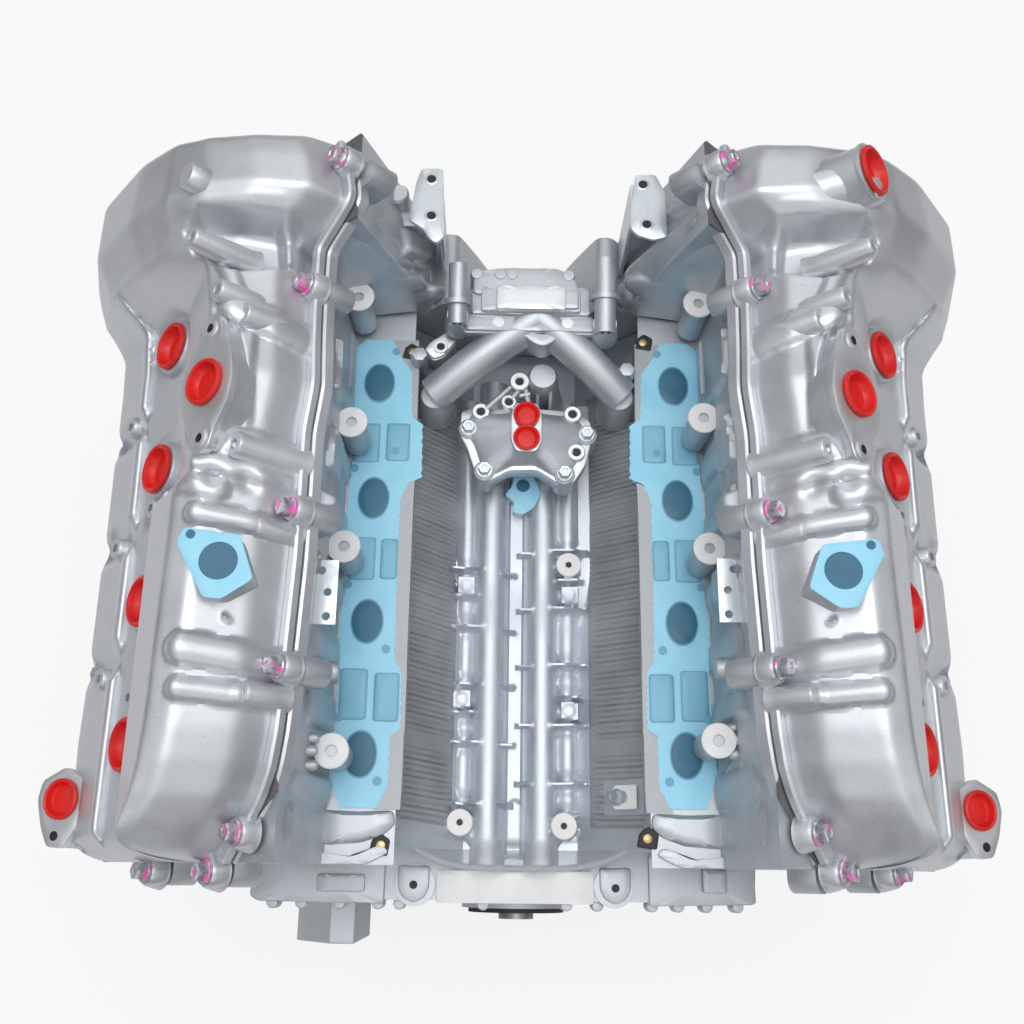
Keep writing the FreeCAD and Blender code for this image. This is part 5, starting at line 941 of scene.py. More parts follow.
# flanges, pads and castings of the openings: outlines carried between two heights, and turned profiles
def makeOpenings(side, v):
    cast, pale, blue, deep, dark, red = [], [], [], [], [], []
    outward, inward = bankAxes(side)
    # oval flange, leaning away from the valley
    normal, flat = leaningFace(side, v["lean"])
    centre = np.array(v["oval"]) * [side, 1, 1]
    loop = roundedLoop(v["ovalLoop"], 1.6, 5)
    cast.append(plate(loop * [0.9, 0.97], -v["ovalDepth"], -5.5, centre, flat, along, rim=0.6))
    pale.append(plate(loop, -6.0, 0.0, centre, flat, along, (0, 0, 15.6), 0.9))
    for end in (-1, 1):
        spot = centre + along * end * v["lug"]
        pale.append(lathe([(3.4, -1), (7.2, -1), (7.2, 0.6), (6.6, 1.0), (3.6, 1.0), (3.4, 0.6), (3.4, -1)],
                          spot, normal))
        # a dark disc of painted shade in each lug's hole
        dark.append(disc(spot, 3.5, -0.6, 0.35, axis=normal))
    red.append(redCap(centre, normal, 17.6))
    # pump seat: pad, film and hole, with discs of the film painted dark in its holes as painted shade
    seat = np.array(v["pump"]) * [side, 1, 1]
    loop = roundedLoop(np.array(v["pumpLoop"], float) * [side, 1], 1.6, 3)
    cast.append(tile(loop * 0.97, -29.0, 0.0, rim=0.8, at=seat))
    blue.append(tile(loop, -0.1, 1.2, (0, 0, v["pumpHole"]), 0.3, seat))
    deep.append(disc(seat, 13.3, 0.1, 0.6, 0.1, count=40))
    deep.append(disc(seat + [side * 20, 18, 0], 3.2, 0.6, 1.5, count=20))
    # water outlet at the pulley end's outer corner, with its pear-shaped flange
    face, level = leaningFace(side, v["outletLean"])
    outlet = bankPoint(side, *v["corner"]) + face * v["outletRise"]
    cast.append(lathe([(0, -52), (23.5, -52), (21.0, -22), (17.5, -14), (0, -14)], outlet, outward, 40))
    cast.append(lathe([(0, -34), (18.5, -34), (17.5, -16), (20.5, -5.5), (0, -5.5)], outlet - face * 0.5,
                      face, 40))
    pear = roundedLoop(np.array(v["pearLoop"], float) * [side, 1], 1.6, 4)
    pale.append(plate(pear, -6.0, 0.0, outlet, level, along, (0, 0, 14.4), 0.9))
    hole = outlet + level * side * 3 - along * 27
    cast.append(lathe([(0, -40), (9.0, -40), (8.0, -6), (0, -6)], hole, face, 24))
    # a dark disc of painted shade in the hole
    dark.append(disc(hole, 3.6, -0.6, 0.3, axis=face))
    red.append(redCap(outlet, face, 15.4))
    # oil filler neck on one side
    if side == right:
        mouth = bankPoint(side, *v["neck"])
        cast.append(lathe([(17.0, -60), (27, -60), (24, -34), (21.6, -12), (21.2, -4), (22.4, -2.5),
                           (22.4, -0.6), (21.6, 0), (17.4, 0), (17.0, -1), (17.0, -60)], mouth, outward, 48))
        cast.append(tube(mouth + inward * 4 - outward * 20 - along * 4,
                         mouth + inward * 26 - outward * 74 - along * 10, 17.0, 32, 1.2))
        red.append(redCap(mouth, outward, 19.6))
    return cast, pale, blue, deep, dark, red


openings = [a + b for a, b in zip(*(makeOpenings(side, portValues) for side in (left, right)))]
openings[-1] += [redCap(place, (0, 0, 1), 11.4) for place in portValues["coolerPorts"]]
makePieces(openings, ("cam_cover_pads", "cover"), ("cam_cover_flanges", "bright"),
           ("pump_seat_gaskets_film", "blue", "pump_seat_gaskets"), ("pump_seat_well_shade", "deepBlue"),
           ("cam_cover_hole_shade", "dark"), ("port_shipping_caps_dished", "red", "port_shipping_caps"))
print("openings made")


# oil cooler cover in the valley
coolerValues = {
    "loop": ((-56, 137), (-44, 140), (-26, 139), (-12, 141), (14, 140), (40, 138), (55, 131), (58, 117),
             (51, 89), (41, 73), (28, 72), (9, 84), (-14, 83), (-31, 73), (-43, 81), (-51, 105), (-57, 115)),
    "flange": (198.0, 205.0), "bolts": ((-49, 120), (52, 116), (-35, 82), (33, 80)),
    "capsule": ((-13, 104), (-9, 94), (9, 94), (13, 104), (13, 128), (9, 138), (-9, 138), (-13, 128)),
    "tubes": ((-39, 135), (40, 134), (43, 99)), "padTop": 223.0, "webs": (10.0, 21.0),
    "lever": ((-6, 162), (-15, 144)),
}


# a smooth roof between two outlines: each ring is a mix of both, its height rising by a power of the mix
def roofBetween(outer, inner, low, high, power, steps=12):
    middle = inner.mean(0)
    turns = np.linspace(-math.pi, math.pi, 120, endpoint=False)
    rings = []
    for loop in (outer, inner):
        at = np.unwrap(np.arctan2(loop[:, 1] - middle[1], loop[:, 0] - middle[0]))
        if at[-1] < at[0]:
            loop, at = loop[::-1], at[::-1]
        wide = np.concatenate([at - 2 * math.pi, at, at + 2 * math.pi])
        thrice = np.concatenate([loop] * 3)
        rings.append(np.stack([np.interp(turns, wide, thrice[:, k]) for k in (0, 1)], -1))
    share = np.linspace(0, 1, steps)[:, None, None]
    flat = rings[0] * (1 - share) + rings[1] * share
    height = np.broadcast_to(low + (high - low) * share ** power, flat[..., :1].shape)
    top = np.concatenate([flat, height], -1)
    under = top.copy()
    under[..., 2] = low - 4
    sheets = np.concatenate([top, under[::-1], top[:1]])
    return sheets.reshape(-1, 3), [gridFaces(*sheets.shape[:2], True)]


# the cooler's cover: plates that shrink about the outline's middle, the roof between two outlines, and
# turned bosses, eyes and a pedestal
def makeCooler(v):
    cast, pale, bolts, dark = [], [], [], []
    loop = roundedLoop(v["loop"], 1.8, 3)
    middle = loop.mean(0)
    low, high = v["flange"]
    cast.append(tile(middle + (loop - middle) * [0.9, 0.84] + [0, 4], 149.5, low - 6))
    cast.append(tile(loop, low - 9, low - 1.4, rim=1.4))
    pale.append(tile(loop, low - 0.6, high))
    capsule = roundedLoop(v["capsule"], 2, 3)
    shrunk = middle + (loop - middle) * [0.88, 0.86]
    cast.append(roofBetween(shrunk, capsule, high - 0.4, v["padTop"] - 4.5, 0.8))
    cast.append(tile(capsule, high - 6, v["padTop"] - 1.2, rim=0.8))
    pale.append(tile(capsule, v["padTop"] - 2.4, v["padTop"], rim=0.7))
    for x, y in v["bolts"]:
        cast.append(lathe([(0, low - 20), (9.5, low - 20), (9.0, high + 0.8), (8.0, high + 1.6),
                           (0, high + 1.6)], (x, y, 0)))
        bolts += flangedBolt((x, y, high + 1.6), (0, 0, 1), 0.86)
    for x, y in v["tubes"]:
        pale.append(lathe([(3.6, high), (7.6, low - 22), (7.6, high + 4.0), (6.8, high + 4.8),
                           (4.2, high + 4.8), (3.6, high + 4.2), (3.6, high)], (x, y, 0), count=32))
        # a dark disc in each tube's bore, painted shade
        dark.append(disc((x, y, 0), 3.8, high + 2.4, high + 3.0, 0))
    # bracket of two eyes behind, its arms, and the pedestal with two upright webs
    (ax, ay), (bx, by) = v["lever"]
    for x, y, radius, top in ((ax, ay, 8.6, 214.0), (bx, by, 6.6, 211.0)):
        pale.append(lathe([(3.4, top - 8), (radius, top - 8), (radius, top - 0.9), (radius - 0.9, top),
                           (4.2, top), (3.4, top - 0.8), (3.4, top - 8)], (x, y, 0), count=32))
        # a dark disc in each eye's hole, painted shade
        dark.append(disc((x, y, 0), 3.6, top - 3, top - 2.2, 0))
    for a, b in (((ax, ay - 6), (bx + 3, by + 4)), ((ax + 5, ay - 5), (4, 134)), ((bx + 3, by - 5), (-6, 134)),
                 ((ax - 6, ay - 2), (-34, 138)), ((-6, 150), (3, 152))):
        cast.append(tube((*a, 209), (*b, 209), 2.6, 12))
    cast.append(lathe([(0, 150), (22, 150), (15, 190), (13.5, 212), (11, 217), (0, 218)], (14, 166, 0),
                      count=36))
    for x in v["webs"]:
        web = np.array([(x, 160, 214), (x, 142, 198), (x, 136, 170), (x, 165, 170)])
        points = np.concatenate([web - [1.3, 0, 0], web + [1.3, 0, 0]])
        cast.append((points, [np.array([(0, 1, 2, 3), (7, 6, 5, 4), (0, 4, 5, 1), (1, 5, 6, 2), (2, 6, 7, 3),
                                        (3, 7, 4, 0)])]))
    return cast, pale, bolts, dark


makePieces(makeCooler(coolerValues), ("oil_cooler_cover_casting", "head", "oil_cooler_cover"),
           ("oil_cooler_cover_rim", "bright"), ("oil_cooler_bolts", "zinc"), ("oil_cooler_hole_shade", "dark"))
print("cooler made")


# coolant crossover at the chain end
crossValues = {
    "top": 262.0, "low": 236.2, "bar": (-53.0, 55.0, 191.0, 205.0, 252.0), "pipeRadius": 15.5,
    "hoses": ((-59.5, 243.0, 190.0, 8.0), (64.0, 250.0, 184.0, 9.0)),
    "pipes": (((8, 209, 238), (-80, 147, 215)), ((10, 209, 238), (81, 148, 216))), "pipeSteps": 16,
    "lump": ((-47, 222), (-47, 244), (-25, 247), (-15, 248), (25, 248), (38, 241), (42, 231), (42, 222)),
    "lens": ((-8, 190), (6, 180), (12, 178), (18, 180), (30, 190), (12, 193)),
    "eye": ((-88, 183), (-80, 174), (-71, 178), (-60, 194), (-68, 200), (-82, 191)),
    "posts": (-44.0, -24.0, -14.0, 34.0), "buttons": (-25.0, 33.0), "nuts": ((85, 167), (-92, 178)),
}


# the crossover: rounded slabs and turned posts, hose stubs as bars, and two pipes whose path arches by a sine
# and whose start swells by a bell curve
def makeCrossover(v):
    cast, pale, dark = [], [], []
    base, top = v["low"], v["top"]

    def slab(x1, x2, y1, y2, low, high, rim=1.2):
        return tile(roundedLoop(box(x1, x2, y1, y2), 2.0, 2), low, high, rim=rim)

    x1, x2, y1, y2, barTop = v["bar"]
    cast.append(slab(x1, x2, y1, y2, 238, barTop))
    cast.append(slab(x1 - 2, x2 + 2, y1 - 1.5, y1 + 5, barTop - 8, barTop - 3, 0.8))
    cast.append(slab(-48, 52, 205, 231, base, barTop + 2))
    cast.append(slab(-40, 44, 206, 229, base, barTop + 6))
    cast.append(slab(28, 42, 208, 226, base, top - 1))
    cast.append(tile(roundedLoop(v["lump"], 2, 5), base, 257, rim=2.0))
    for x in v["posts"]:
        cast.append(lathe([(0, base), (6, base), (5.6, 256), (4.6, 257.6), (0, 258)], (x, 241, 0), count=24))
    pale.append(slab(-27, 31, 205.5, 227.5, 258, top + 1, 0.8))
    for x in v["buttons"]:
        pale.append(lathe([(0, barTop - 1), (5, barTop - 1), (4.8, barTop + 0.35), (0, barTop + 0.45)],
                          (x, 198.5, 0), count=32))
    for x, start, end, radius in v["hoses"]:
        cast.append(tube((x, start, 268), (x, end + 3, 256), radius, 32))
        cast.append(tube((x, start - 30, 261.5), (x, start - 34, 260.5), radius + 3.2, 32))
        cast.append(lathe([(0, base), (radius + 4, base), (radius + 1, 258), (0, 258)], (x, end + 12, 0)))
        # two small dark dots of painted shade on each hose stub's end
        for shift in (-2.6, 2.6):
            dark.append(disc((x + shift, end + 1.6, 262), 1.5, 0, 0.8, 0, (0, -0.5, 0.8), 12))
    share = np.linspace(0, 1, v["pipeSteps"])[:, None]
    for a, b in np.array(v["pipes"], float):
        path = a + share * (b - a) + np.sin(share * math.pi) * [0, 0, 5]
        swell = 1 + 0.16 * np.exp(-((share[:, 0] - 0.02) / 0.16) ** 2)
        cast.append(sweep(path, circle(v["pipeRadius"], 40), (0, 0, 1), swell))
        foot = b - (b - a) / np.linalg.norm(b - a) * 2 - [0, 0, 6]
        cast.append(lathe([(0, -34), (17, -34), (16.5, -6), (12, 3), (0, 6)], foot, count=36))
    cast.append(tile(roundedLoop(v["lens"], 2, 4), 226, 249, rim=3.0))
    eye = roundedLoop(v["eye"], 1.5, 4)
    cast.append(tile(eye - [0, 1], 205, 227))
    pale.append(tile(eye, 226, 230, rim=0.8))
    pale.append(lathe([(3.2, 229), (6.4, 229), (6.0, 231.6), (3.6, 231.6), (3.2, 231), (3.2, 229)],
                      (-74, 185, 0)))
    # a dark disc in the eye's ring, painted shade
    dark.append(disc((-74, 185, 0), 3.4, 229.5, 230.6, 0.1))
    for x, y in v["nuts"]:
        cast.append(lathe([(0, 200), (9, 200), (8, 228), (6.5, 231), (0, 232)], (x, y, 0), count=28, sides=6))
    return cast, pale, dark


makePieces(makeCrossover(crossValues), ("coolant_crossover_casting", "head", "coolant_crossover"),
           ("coolant_crossover_plate", "bright"), ("coolant_crossover_hole_shade", "dark"))
print("crossover made")


# inner walls of the banks, with the shoulders at the chain end
wallValues = {
    "low": (150.0, 217.3), "foot": (81.6, 223.0), "turn": (217.0, 227.0), "top": 341.0, "rows": 72,
    "pitch": 1.5, "columns": (128.0, 78.0, 24.0, -28.0, -80.0, -128.0, -182.0),
    # raised pads as (from, to along the crank's line, low, high, lift, softness)
    "pads": {left: ((48, 158, 264, 299, 5.5, 1.8), (-26, 16, 250, 306, 4.0, 1.6), (3, 24, 284, 318, 13.0, 6.0),
                    (132, 200, 222, 238, 3.5, 1.6), (-233, -205, 268, 320, 8.0, 3.0)),
             right: ((53, 164, 280, 317, 5.5, 1.8), (-20, 39, 258, 307, 4.0, 1.6), (8, 29, 286, 322, 13.0, 6.0),
                     (-49, -14, 256, 293, 9.0, 4.0), (138, 206, 222, 236, 3.5, 1.6),
                     (-232, -206, 268, 314, 5.0, 3.0))},
    "hollows": {left: ((-186, 272, 13), (44, 270, 9)), right: ((-117, 266, 14), (-176, 258, 17), (48, 284, 9))},
    "dots": {left: ((-151, 276), (-160, 279), (-170, 275)), right: ((-138, 263), (-147, 266), (-157, 262))},
    "rods": {left: ((146, -102, 268),), right: ((146, -97, 278), (152, 24, 304))},
    "stands": {left: (210, 98, -5, -159), right: (210, 107, -2, -148)},
    # the casting below the film's pulley end and its bright ledge as (outline, low, high, rim)
    "ledges": ((((-152, -197), (-97, -197), (-95, -208), (-104, -216), (-122, -223), (-152, -224)),
                160, 220.5, 8.0),
               (((-164, -228), (-126, -231), (-106, -222), (-100, -228), (-118, -237), (-164, -237)),
                170, 219.0, 1.2)),
}


# A bank's wall as a ruled sheet from its foot to the cover's seam: the foot swings inward at the chain end by
# an eased share, and half-round columns, soft-edged pads and hollows push it towards the valley
def makeWall(side, v):
    y = np.arange(-236.0, 299.5, v["pitch"])[:, None]
    seamLine = np.array(coverValues["seamLine"], float)
    t = np.interp(y - bankShift[side], seamLine[:, 0], seamLine[:, 1])
    low, foot = np.array(v["low"]), np.array(v["foot"])
    start = low + (foot - low) * ease(*v["turn"], y)
    end = np.concatenate([v["top"] - t, v["top"] + t], 1) * slope
    u = np.linspace(0, 1, v["rows"])[None, :]
    x = start[:, :1] + (end - start)[:, :1] * u
    z = start[:, 1:] + (end - start)[:, 1:] * u
    y = np.broadcast_to(y, x.shape)
    nearPost = np.min([np.abs(y - place) for place in v["stands"][side]], axis=0)
    clear = 1 - ease(19, 12, nearPost) * ease(214, 206, y)
    lift = 0.7 + wallRelief(side, y, z, v) * ease(0, 0.06, u) * ease(1, 0.95, u) * clear
    lift = lift * ease(-236, -226, y) * ease(299.5, 294, y)
    top = spread(side * (x - lift * 0.985), y, z + lift * 0.17 * ease(0, 0.1, u))
    return closedSheet(top, spread(side * (x + 2.0), y, z))


# how far a wall stands out at each place: the largest of its columns, pads and rings, and on the shoulder
# the sum of its swellings
def wallRelief(side, y, z, v):
    lift = np.zeros_like(z)
    before = ease(220, 208, y)
    for centre in v["columns"]:
        lift = np.maximum(lift, halfRound(toSegment(y, z, (centre, 200), (centre, 288)), 15.0, 4.2) * before)
    for y1, y2, z1, z2, height, soft in v["pads"][side]:
        inside = np.minimum(np.minimum(y - y1, y2 - y), np.minimum(z - z1, z2 - z))
        lift = np.maximum(lift, height * ease(-0.4 * soft, soft, inside))
    for cy, cz, radius in v["hollows"][side]:
        distance = np.hypot(y - cy, z - cz)
        lift = np.maximum(lift, 2.6 * ease(4.5, 1, np.abs(distance - radius)))
    # the shoulder: one broad swelling, a slanting ridge, a flat boss with the pocket under it and two lumps
    after = ease(216, 230, y)
    lift += after * 5.0 * ease(0, 34, insideOf(y, z, ((214, 226), (300, 226), (300, 350), (214, 330))))
    if side == left:
        lift += after * 7.0 * ease(-1, 4, insideOf(y, z, ((256, 301), (292, 238), (264, 238), (232, 295))))
        lift += after * -6.0 * ease(0, 6, insideOf(y, z, ((226, 295), (260, 233), (244, 229), (226, 250))))
        lift += after * halfRound(toSegment(y, z, (228, 322), (232, 238)), 7.0, 5.0)
    else:
        lift += after * halfRound(toSegment(y, z, (229, 340), (236, 262)), 15.0, 9.0)
        lift += after * halfRound(toSegment(y, z, (262, 330), (284, 250)), 7.0, 4.0)
    lift += after * halfRound(np.hypot(y - 236, z - 236), 11.0, 9.0)
    lift += after * halfRound(np.hypot(y - 226, z - 262), 12.0, 9.0)
    return lift


# turned studs and bosses on a wall, and the castings at its pulley end
def wallExtras(side, v):
    chunks = [lathe([(0, -4), (4.4, -4), (4.0, 5.0), (2.8, 7.4), (0, 8.2)], (side * 157, y, z),
                    (-side, 0, 0.1), 20) for y, z in v["dots"][side]]
    chunks += [lathe([(0, -16), (9.5, -16), (8.6, 4), (7.4, 7), (0, 8.2)], (side * x, y, z), (-side, 0, 0))
               for x, y, z in v["rods"][side]]
    return chunks + [tile(roundedLoop(outline, 1.8, 4) * [-side, 1], low, high, rim=rim)
                     for outline, low, high, rim in v["ledges"]]


for side in (left, right):
    label = sideNames[side]
    makePiece(f"cylinder_head_{label}_wall", [makeWall(side, wallValues)], "head", sharp=60)
    makePiece(f"cylinder_head_{label}_bosses", wallExtras(side, wallValues), "head")
    makePiece(f"cylinder_head_{label}_edge", [seamStrip(side, coverValues, 4.0, 341.0, 351.2, 10.0)], "cover")
print("walls made")


# chain end: the rear case with its dip between the banks, posts and lifting brackets
rearValues = {
    "outline": ((118, -71.5), (135, 0), (173, 39), (232, 72), (226, 84), (84, 222), (74, 235), (62, 235),
                (46, 200), (30, 160), (0, 156)),
    "near": 224.6, "far": 294.0, "crank": 40.0, "ribs": 9, "bracketTop": 320.0,
    "bosses": ((124, 14), (168, 52), (206, 76), (196, 104), (150, 150), (112, 186)),
    "plates": (((-89, 300), (-72, 300), (-70, 262), (-69, 238), (-75, 231), (-80, 234), (-86, 244), (-98, 252),
                (-93, 288)),
               ((84, 298), (100, 299), (108, 282), (108, 241), (97, 238), (85, 242), (79, 248), (79, 262))),
    "legs": (-73.5, 81.5), "holes": ((-81, 290), (-80, 256), (90, 289), (92, 252)),
    "posts": ((-109, 286, 9.0, 306.0), (143, 284, 14.5, 322.0)),
    "blocks": ((-112, -88, 264, 279, 292), (80, 104, 262, 276, 290)),
}


# the case: its half outline mirrored and carried along the crank's line, ribs in a fan round the seal's ring,
# and turned bosses on its face
def makeRearCase(v):
    half = np.array(v["outline"], float)
    loop = np.concatenate([half[:-1], half[::-1] * [-1, 1]])
    chunks = [plate(roundedLoop(loop, 3.0, 3), v["near"], v["far"], (0, 0, 0), (-1, 0, 0), (0, 0, 1),
                    (0, 0, v["crank"]), 3.0)]
    for angle in np.linspace(-math.pi / 2, math.pi / 2, v["ribs"]):
        spoke = np.array([math.sin(angle), 0, math.cos(angle)])
        reach = 104 if abs(angle) < 1.2 else 66
        chunks.append(tube(along * v["far"] + spoke * 52, along * v["far"] + spoke * reach, 4.0, 14, 0.7))
    chunks.append(lathe([(42, 0), (52, 0), (52, 3.6), (50, 5.0), (44, 5.0), (42, 3.6), (42, 0)],
                        (0, v["far"], 0), along, 72))
    for side in (left, right):
        chunks.append(lathe([(0, -6), (30, -6), (28, 2.5), (22, 5), (0, 5.6)], (side * 92, v["far"], 124),
                            along, 48))
        for x, z in v["bosses"]:
            chunks.append(lathe([(0, -8), (9, -8), (8.4, 4.4), (7.4, 5.6), (3.6, 5.6), (3.2, 3), (0, 3)],
                                (side * x, v["far"], z), along, 24))
    return chunks


# posts and blocks at the chain end, and the two brackets: a rounded plate on an upright leg, with ringed holes
# whose dark discs are painted shade
def makeChainPosts(v):
    posts, plates, dark = [], [], []
    top = v["bracketTop"]
    for x, y, radius, high in v["posts"]:
        posts.append(lathe([(0, 226), (radius + 2, 226), (radius, 250), (radius, high - 2),
                            (radius - 1.6, high), (0, high)], (x, y, 0), count=36))
    for x1, x2, y1, y2, high in v["blocks"]:
        posts.append(tile(roundedLoop(box(x1, x2, y1, y2), 1.6, 3), 240, high, rim=1.2))
    for x, outline in zip(v["legs"], v["plates"]):
        plates.append(tile(roundedLoop(outline, 1.4, 3), top - 3, top, rim=0.5))
        plates.append(tile(roundedLoop(box(x - 1.8, x + 1.8, 258, 290), 1.0, 1), 228, top - 2, rim=0.4))
    for x, y in v["holes"]:
        plates.append(lathe([(3.6, top - 1), (5.4, top - 1), (5.4, top), (5.0, top + 0.3), (3.8, top + 0.3),
                             (3.6, top), (3.6, top - 1)], (x, y, 0)))
        dark.append(disc((x, y, 0), 3.8, top - 0.8, top + 0.15))
    return posts, plates, dark


makePiece("rear_timing_case_skin", makeRearCase(rearValues), "head", stands=["rear_timing_case"])
makePieces(makeChainPosts(rearValues), ("rear_timing_case_posts", "head"),
           ("lifting_brackets_plates", "zinc", "lifting_brackets"), ("lifting_bracket_hole_shade", "dark"))
print("chain end made")


# pulley end: flange with its lugs, bare pad, clips and blocks
frontValues = {
    "lugs": ((-88, -252), (80, -253)), "clips": ((-108, -223), (95, -216), (-100, 186), (102, 199)),
    "lug": ((13, -237), (13, -254), (9, -262), (0, -266), (-9, -262), (-13, -254), (-13, -237)),
    "pad": (-69.0, 62.0, -266.0, -240.0),
    # flange blocks as (outline, low, high, rim)
    "blocks": ((((-223, -262), (-216, -266), (-112, -267), (-112, -226), (-221, -226)), 90, 116.4, 1.6),
               (((108, -267), (196, -265), (199, -226), (108, -226)), 90, 116.4, 1.6),
               (box(-168, -128, -258, -244), 110, 119.0, 1.4), (box(152, 172, -256, -236), 110, 124.0, 1.6)),
    "studs": (-206, -182, -150, -118, -100, -30, 40, 66, 112, 134, 158, 184),
    "gasket": ((-9, 93), (-1, 95), (8, 93), (12, 85), (15, 77), (9, 64), (-1, 57), (-10, 59), (-9, 69),
               (-17, 75), (-11, 83)), "gasketHole": (-1, 84),
}


# the flange's lugs, blocks and studs, the bare pad and the clips: rounded outlines between two heights
def makeFront(v):
    cast, pale, white, black, brass, dark = [], [], [], [], [], []
    for x, y in v["lugs"]:
        arch = [(x + across, place) for across, place in v["lug"]]
        pale.append(tile(roundedLoop(arch, 1.4, 3), 96, 117.5, rim=1.4))
        # a dark disc on each lug as painted shade of its hole
        dark.append(disc((x, y, 0), 3.4, 117, 117.9, 0.1))
    for x, y in valleyValues["washers"][1:]:
        cast.append(tube((x * 0.94, y - 3, 139), (x * 0.45, -234, 129), 6.5, 24, 0.9))
    white.append(tile(roundedLoop(box(*v["pad"]), 1.8, 1), 96, 116.2, rim=0.6))
    for outline, low, high, rim in v["blocks"]:
        cast.append(tile(roundedLoop(outline, 1.8, 2), low, high, rim=rim))
    for x in v["studs"]:
        cast.append(lathe([(0, 86), (5.2, 86), (5.0, 104), (4.2, 105.4), (0, 106)], (x, -267, 0), count=18))
    for x, y in v["clips"]:
        flag = roundedLoop([(x - 8, y - 6), (x + 6, y - 8), (x + 8, y + 4), (x, y + 9), (x - 6, y + 4)], 1.2, 2)
        black.append(tile(flag, 205, 217.6, rim=0.8))
        brass.append(lathe([(0, 216), (3.6, 216), (3.4, 218.4), (2.0, 218.9), (0, 218.9)],
                           (x - math.copysign(1, x), y, 0), count=20))
    return cast, pale, white, black, brass, dark


# the gasket that lies in the valley on its low seat
def makeValleyGasket(v):
    loop = roundedLoop(v["gasket"], 1.2, 3)
    middle, (x, y) = loop.mean(0), v["gasketHole"]
    # the last list is a disc of the film painted dark in the gasket's hole, as painted shade
    return ([tile(middle + (loop - middle) * 0.97, 146, 163.2, rim=0.8)],
            [tile(loop, 163.0, 164.4, (x, y, 6.0), 0.3)], [disc((x, y, 0), 6.2, 163.1, 163.6, 0.1, count=28)])


makePieces(makeFront(frontValues), ("front_cover_edge", "head"), ("front_cover_lugs", "head"),
           ("front_cover_pad", "white"), ("gasket_clips", "black"), ("gasket_clip_pins", "brass"),
           ("front_cover_hole_shade", "dark"))
makePieces(makeValleyGasket(frontValues), ("valley_gasket_seat", "block"),
           ("valley_gasket_film", "blue", "valley_gasket"), ("valley_gasket_hole_shade", "deepBlue"))
print("pulley end made")


# soft edges on the CAD's own pieces
edgeValues = {
    "nodes": ("cylinder_head_left", "cylinder_head_right", "cylinder_block", "bedplate", "front_cover",
              "oil_filter_housing", "stand_off_washers", "wiring_brackets"),
    "weld": 0.02, "width": 1.2, "segments": 2, "angle": 40,
}
for name in edgeValues["nodes"]:
    weld = nodes[name].modifiers.new("weld", "WELD")
    weld.merge_threshold = edgeValues["weld"] * metre
    bevel = nodes[name].modifiers.new("edge", "BEVEL")
    bevel.width, bevel.segments = edgeValues["width"] * metre, edgeValues["segments"]
    bevel.limit_method, bevel.angle_limit = "ANGLE", math.radians(edgeValues["angle"])
print("edges softened")


# stage: floor, light and camera
stageValues = {"floorSize": 6.0, "floorLow": -0.001, "keyPower": 12.0, "sidePower": 3.0,
               "cameraPlace": (-0.025, -0.240, 1.300), "tilt": 18.06, "yaw": 0.86, "roll": 0.95,
               "focalPixels": 1100.0, "imagePixels": 1024, "sensor": 36.0, "farthest": 30.0,
               "skyStops": ((0.0, 0.30), (0.50, 0.12), (0.72, 0.42), (1.0, 1.1)), "skyStrength": 0.9}


# a pale floor that the camera sees brighter than the light on it
def makeFloor(v):
    size = v["floorSize"] / 2
    mesh = bpy.data.meshes.new("floor")
    mesh.from_pydata([(x, y, v["floorLow"]) for x, y in box(-size, size, -size, size)], [], [(0, 1, 2, 3)])
    floor = bpy.data.objects.new("floor", mesh)
    bpy.context.scene.collection.objects.link(floor)
    f = Finish("paleFloor")
    f.set(Base_Color=(0.86, 0.86, 0.86), Roughness=0.9, Specular_IOR_Level=0.1)
    seen = f.node("LightPath", out="Is Camera Ray")
    seen = seen.calc("MAXIMUM", seen, f.node("LightPath", out="Is Transmission Ray"))
    f.cover(seen * 0.8, Wire(f.tree, f.shader.outputs[0]), f.node("Emission", Color=(1, 1, 1), Strength=1.0),
            "Material Output")
    mesh.materials.append(f.material)


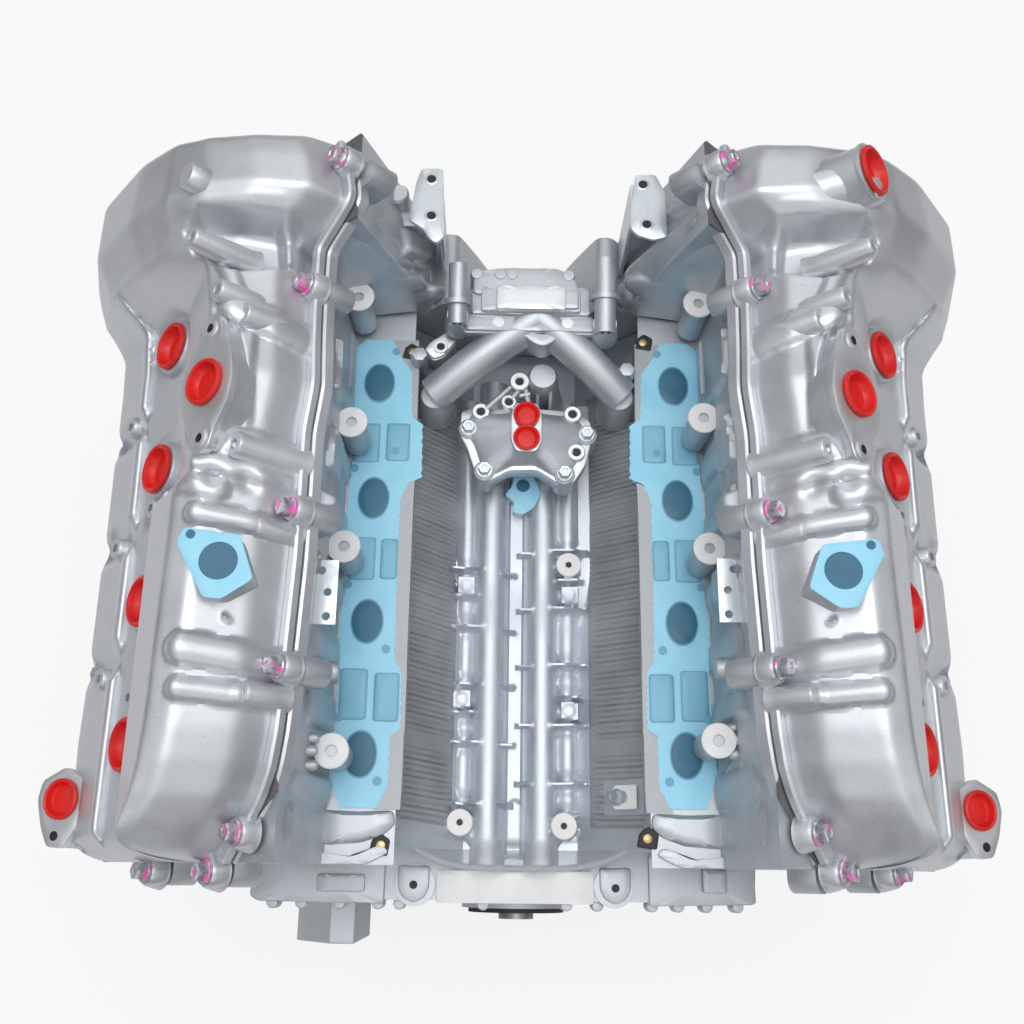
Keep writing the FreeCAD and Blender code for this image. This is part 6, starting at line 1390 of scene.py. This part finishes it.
# an area lamp at a place, turned so that it faces its aim
def makeLamp(name, place, aim, size, power):
    lamp = bpy.data.lights.new(name, "AREA")
    lamp.shape, lamp.size, lamp.size_y, lamp.energy = "RECTANGLE", size[0], size[1], power
    thing = bpy.data.objects.new(name, lamp)
    thing.location = place
    thing.rotation_euler = (Vector(aim) - Vector(place)).to_track_quat("-Z", "Y").to_euler()
    bpy.context.scene.collection.objects.link(thing)


# a studio sky that lights by a ramp over its height and shows the camera plain white
def makeWorld(v):
    world = bpy.data.worlds.new("studio")
    bpy.context.scene.world = world
    world.use_nodes = True
    w = Graph(world.node_tree)
    height = w.node("SeparateXYZ", w.node("TexCoord", out="Generated"), out="Z") * 0.5 + 0.5
    stops = [(spot, (level, level, level * 1.02)) for spot, level in v["skyStops"]]
    light = w.node("Background", Color=w.node("ValToRGB", height, settings={"stops": stops}),
                   Strength=v["skyStrength"])
    w.cover(w.node("LightPath", out="Is Camera Ray"), light, w.node("Background", Color=(1, 1, 1)),
            "World Output")


# the camera's axes: forward by yaw and tilt, level across it, both turned by the roll
def makeCamera(v):
    tilt, yaw, roll = (math.radians(v[k]) for k in ("tilt", "yaw", "roll"))
    forward = Vector((math.sin(yaw), math.sin(tilt) * math.cos(yaw), -math.cos(tilt) * math.cos(yaw)))
    level = (Vector((1, 0, 0)) - forward * forward.x).normalized()
    up = level.cross(forward)
    across = level * math.cos(roll) + up * math.sin(roll)
    above = up * math.cos(roll) - level * math.sin(roll)
    camera = bpy.data.objects.new("camera", bpy.data.cameras.new("camera"))
    camera.matrix_world = Matrix.Translation(v["cameraPlace"]) @ Matrix(
        [(across[i], above[i], -forward[i]) for i in range(3)]).to_4x4()
    camera.data.sensor_width = v["sensor"]
    camera.data.lens = v["sensor"] * v["focalPixels"] / v["imagePixels"]
    camera.data.clip_end = v["farthest"]
    bpy.context.scene.collection.objects.link(camera)
    bpy.context.scene.camera = camera


makeFloor(stageValues)
makeWorld(stageValues)
makeLamp("topPanel", (0.0, 0.15, 2.3), (0, 0, 0.4), (1.5, 1.1), stageValues["keyPower"])
makeLamp("frontPanel", (0.1, -1.9, 1.7), (0, 0, 0.35), (1.6, 0.7), stageValues["sidePower"])
makeLamp("backPanel", (0.0, 1.9, 1.6), (0, 0, 0.4), (1.6, 0.7), stageValues["sidePower"])
makeCamera(stageValues)
bpy.context.scene.view_settings.view_transform = "Standard"
print("stage set")
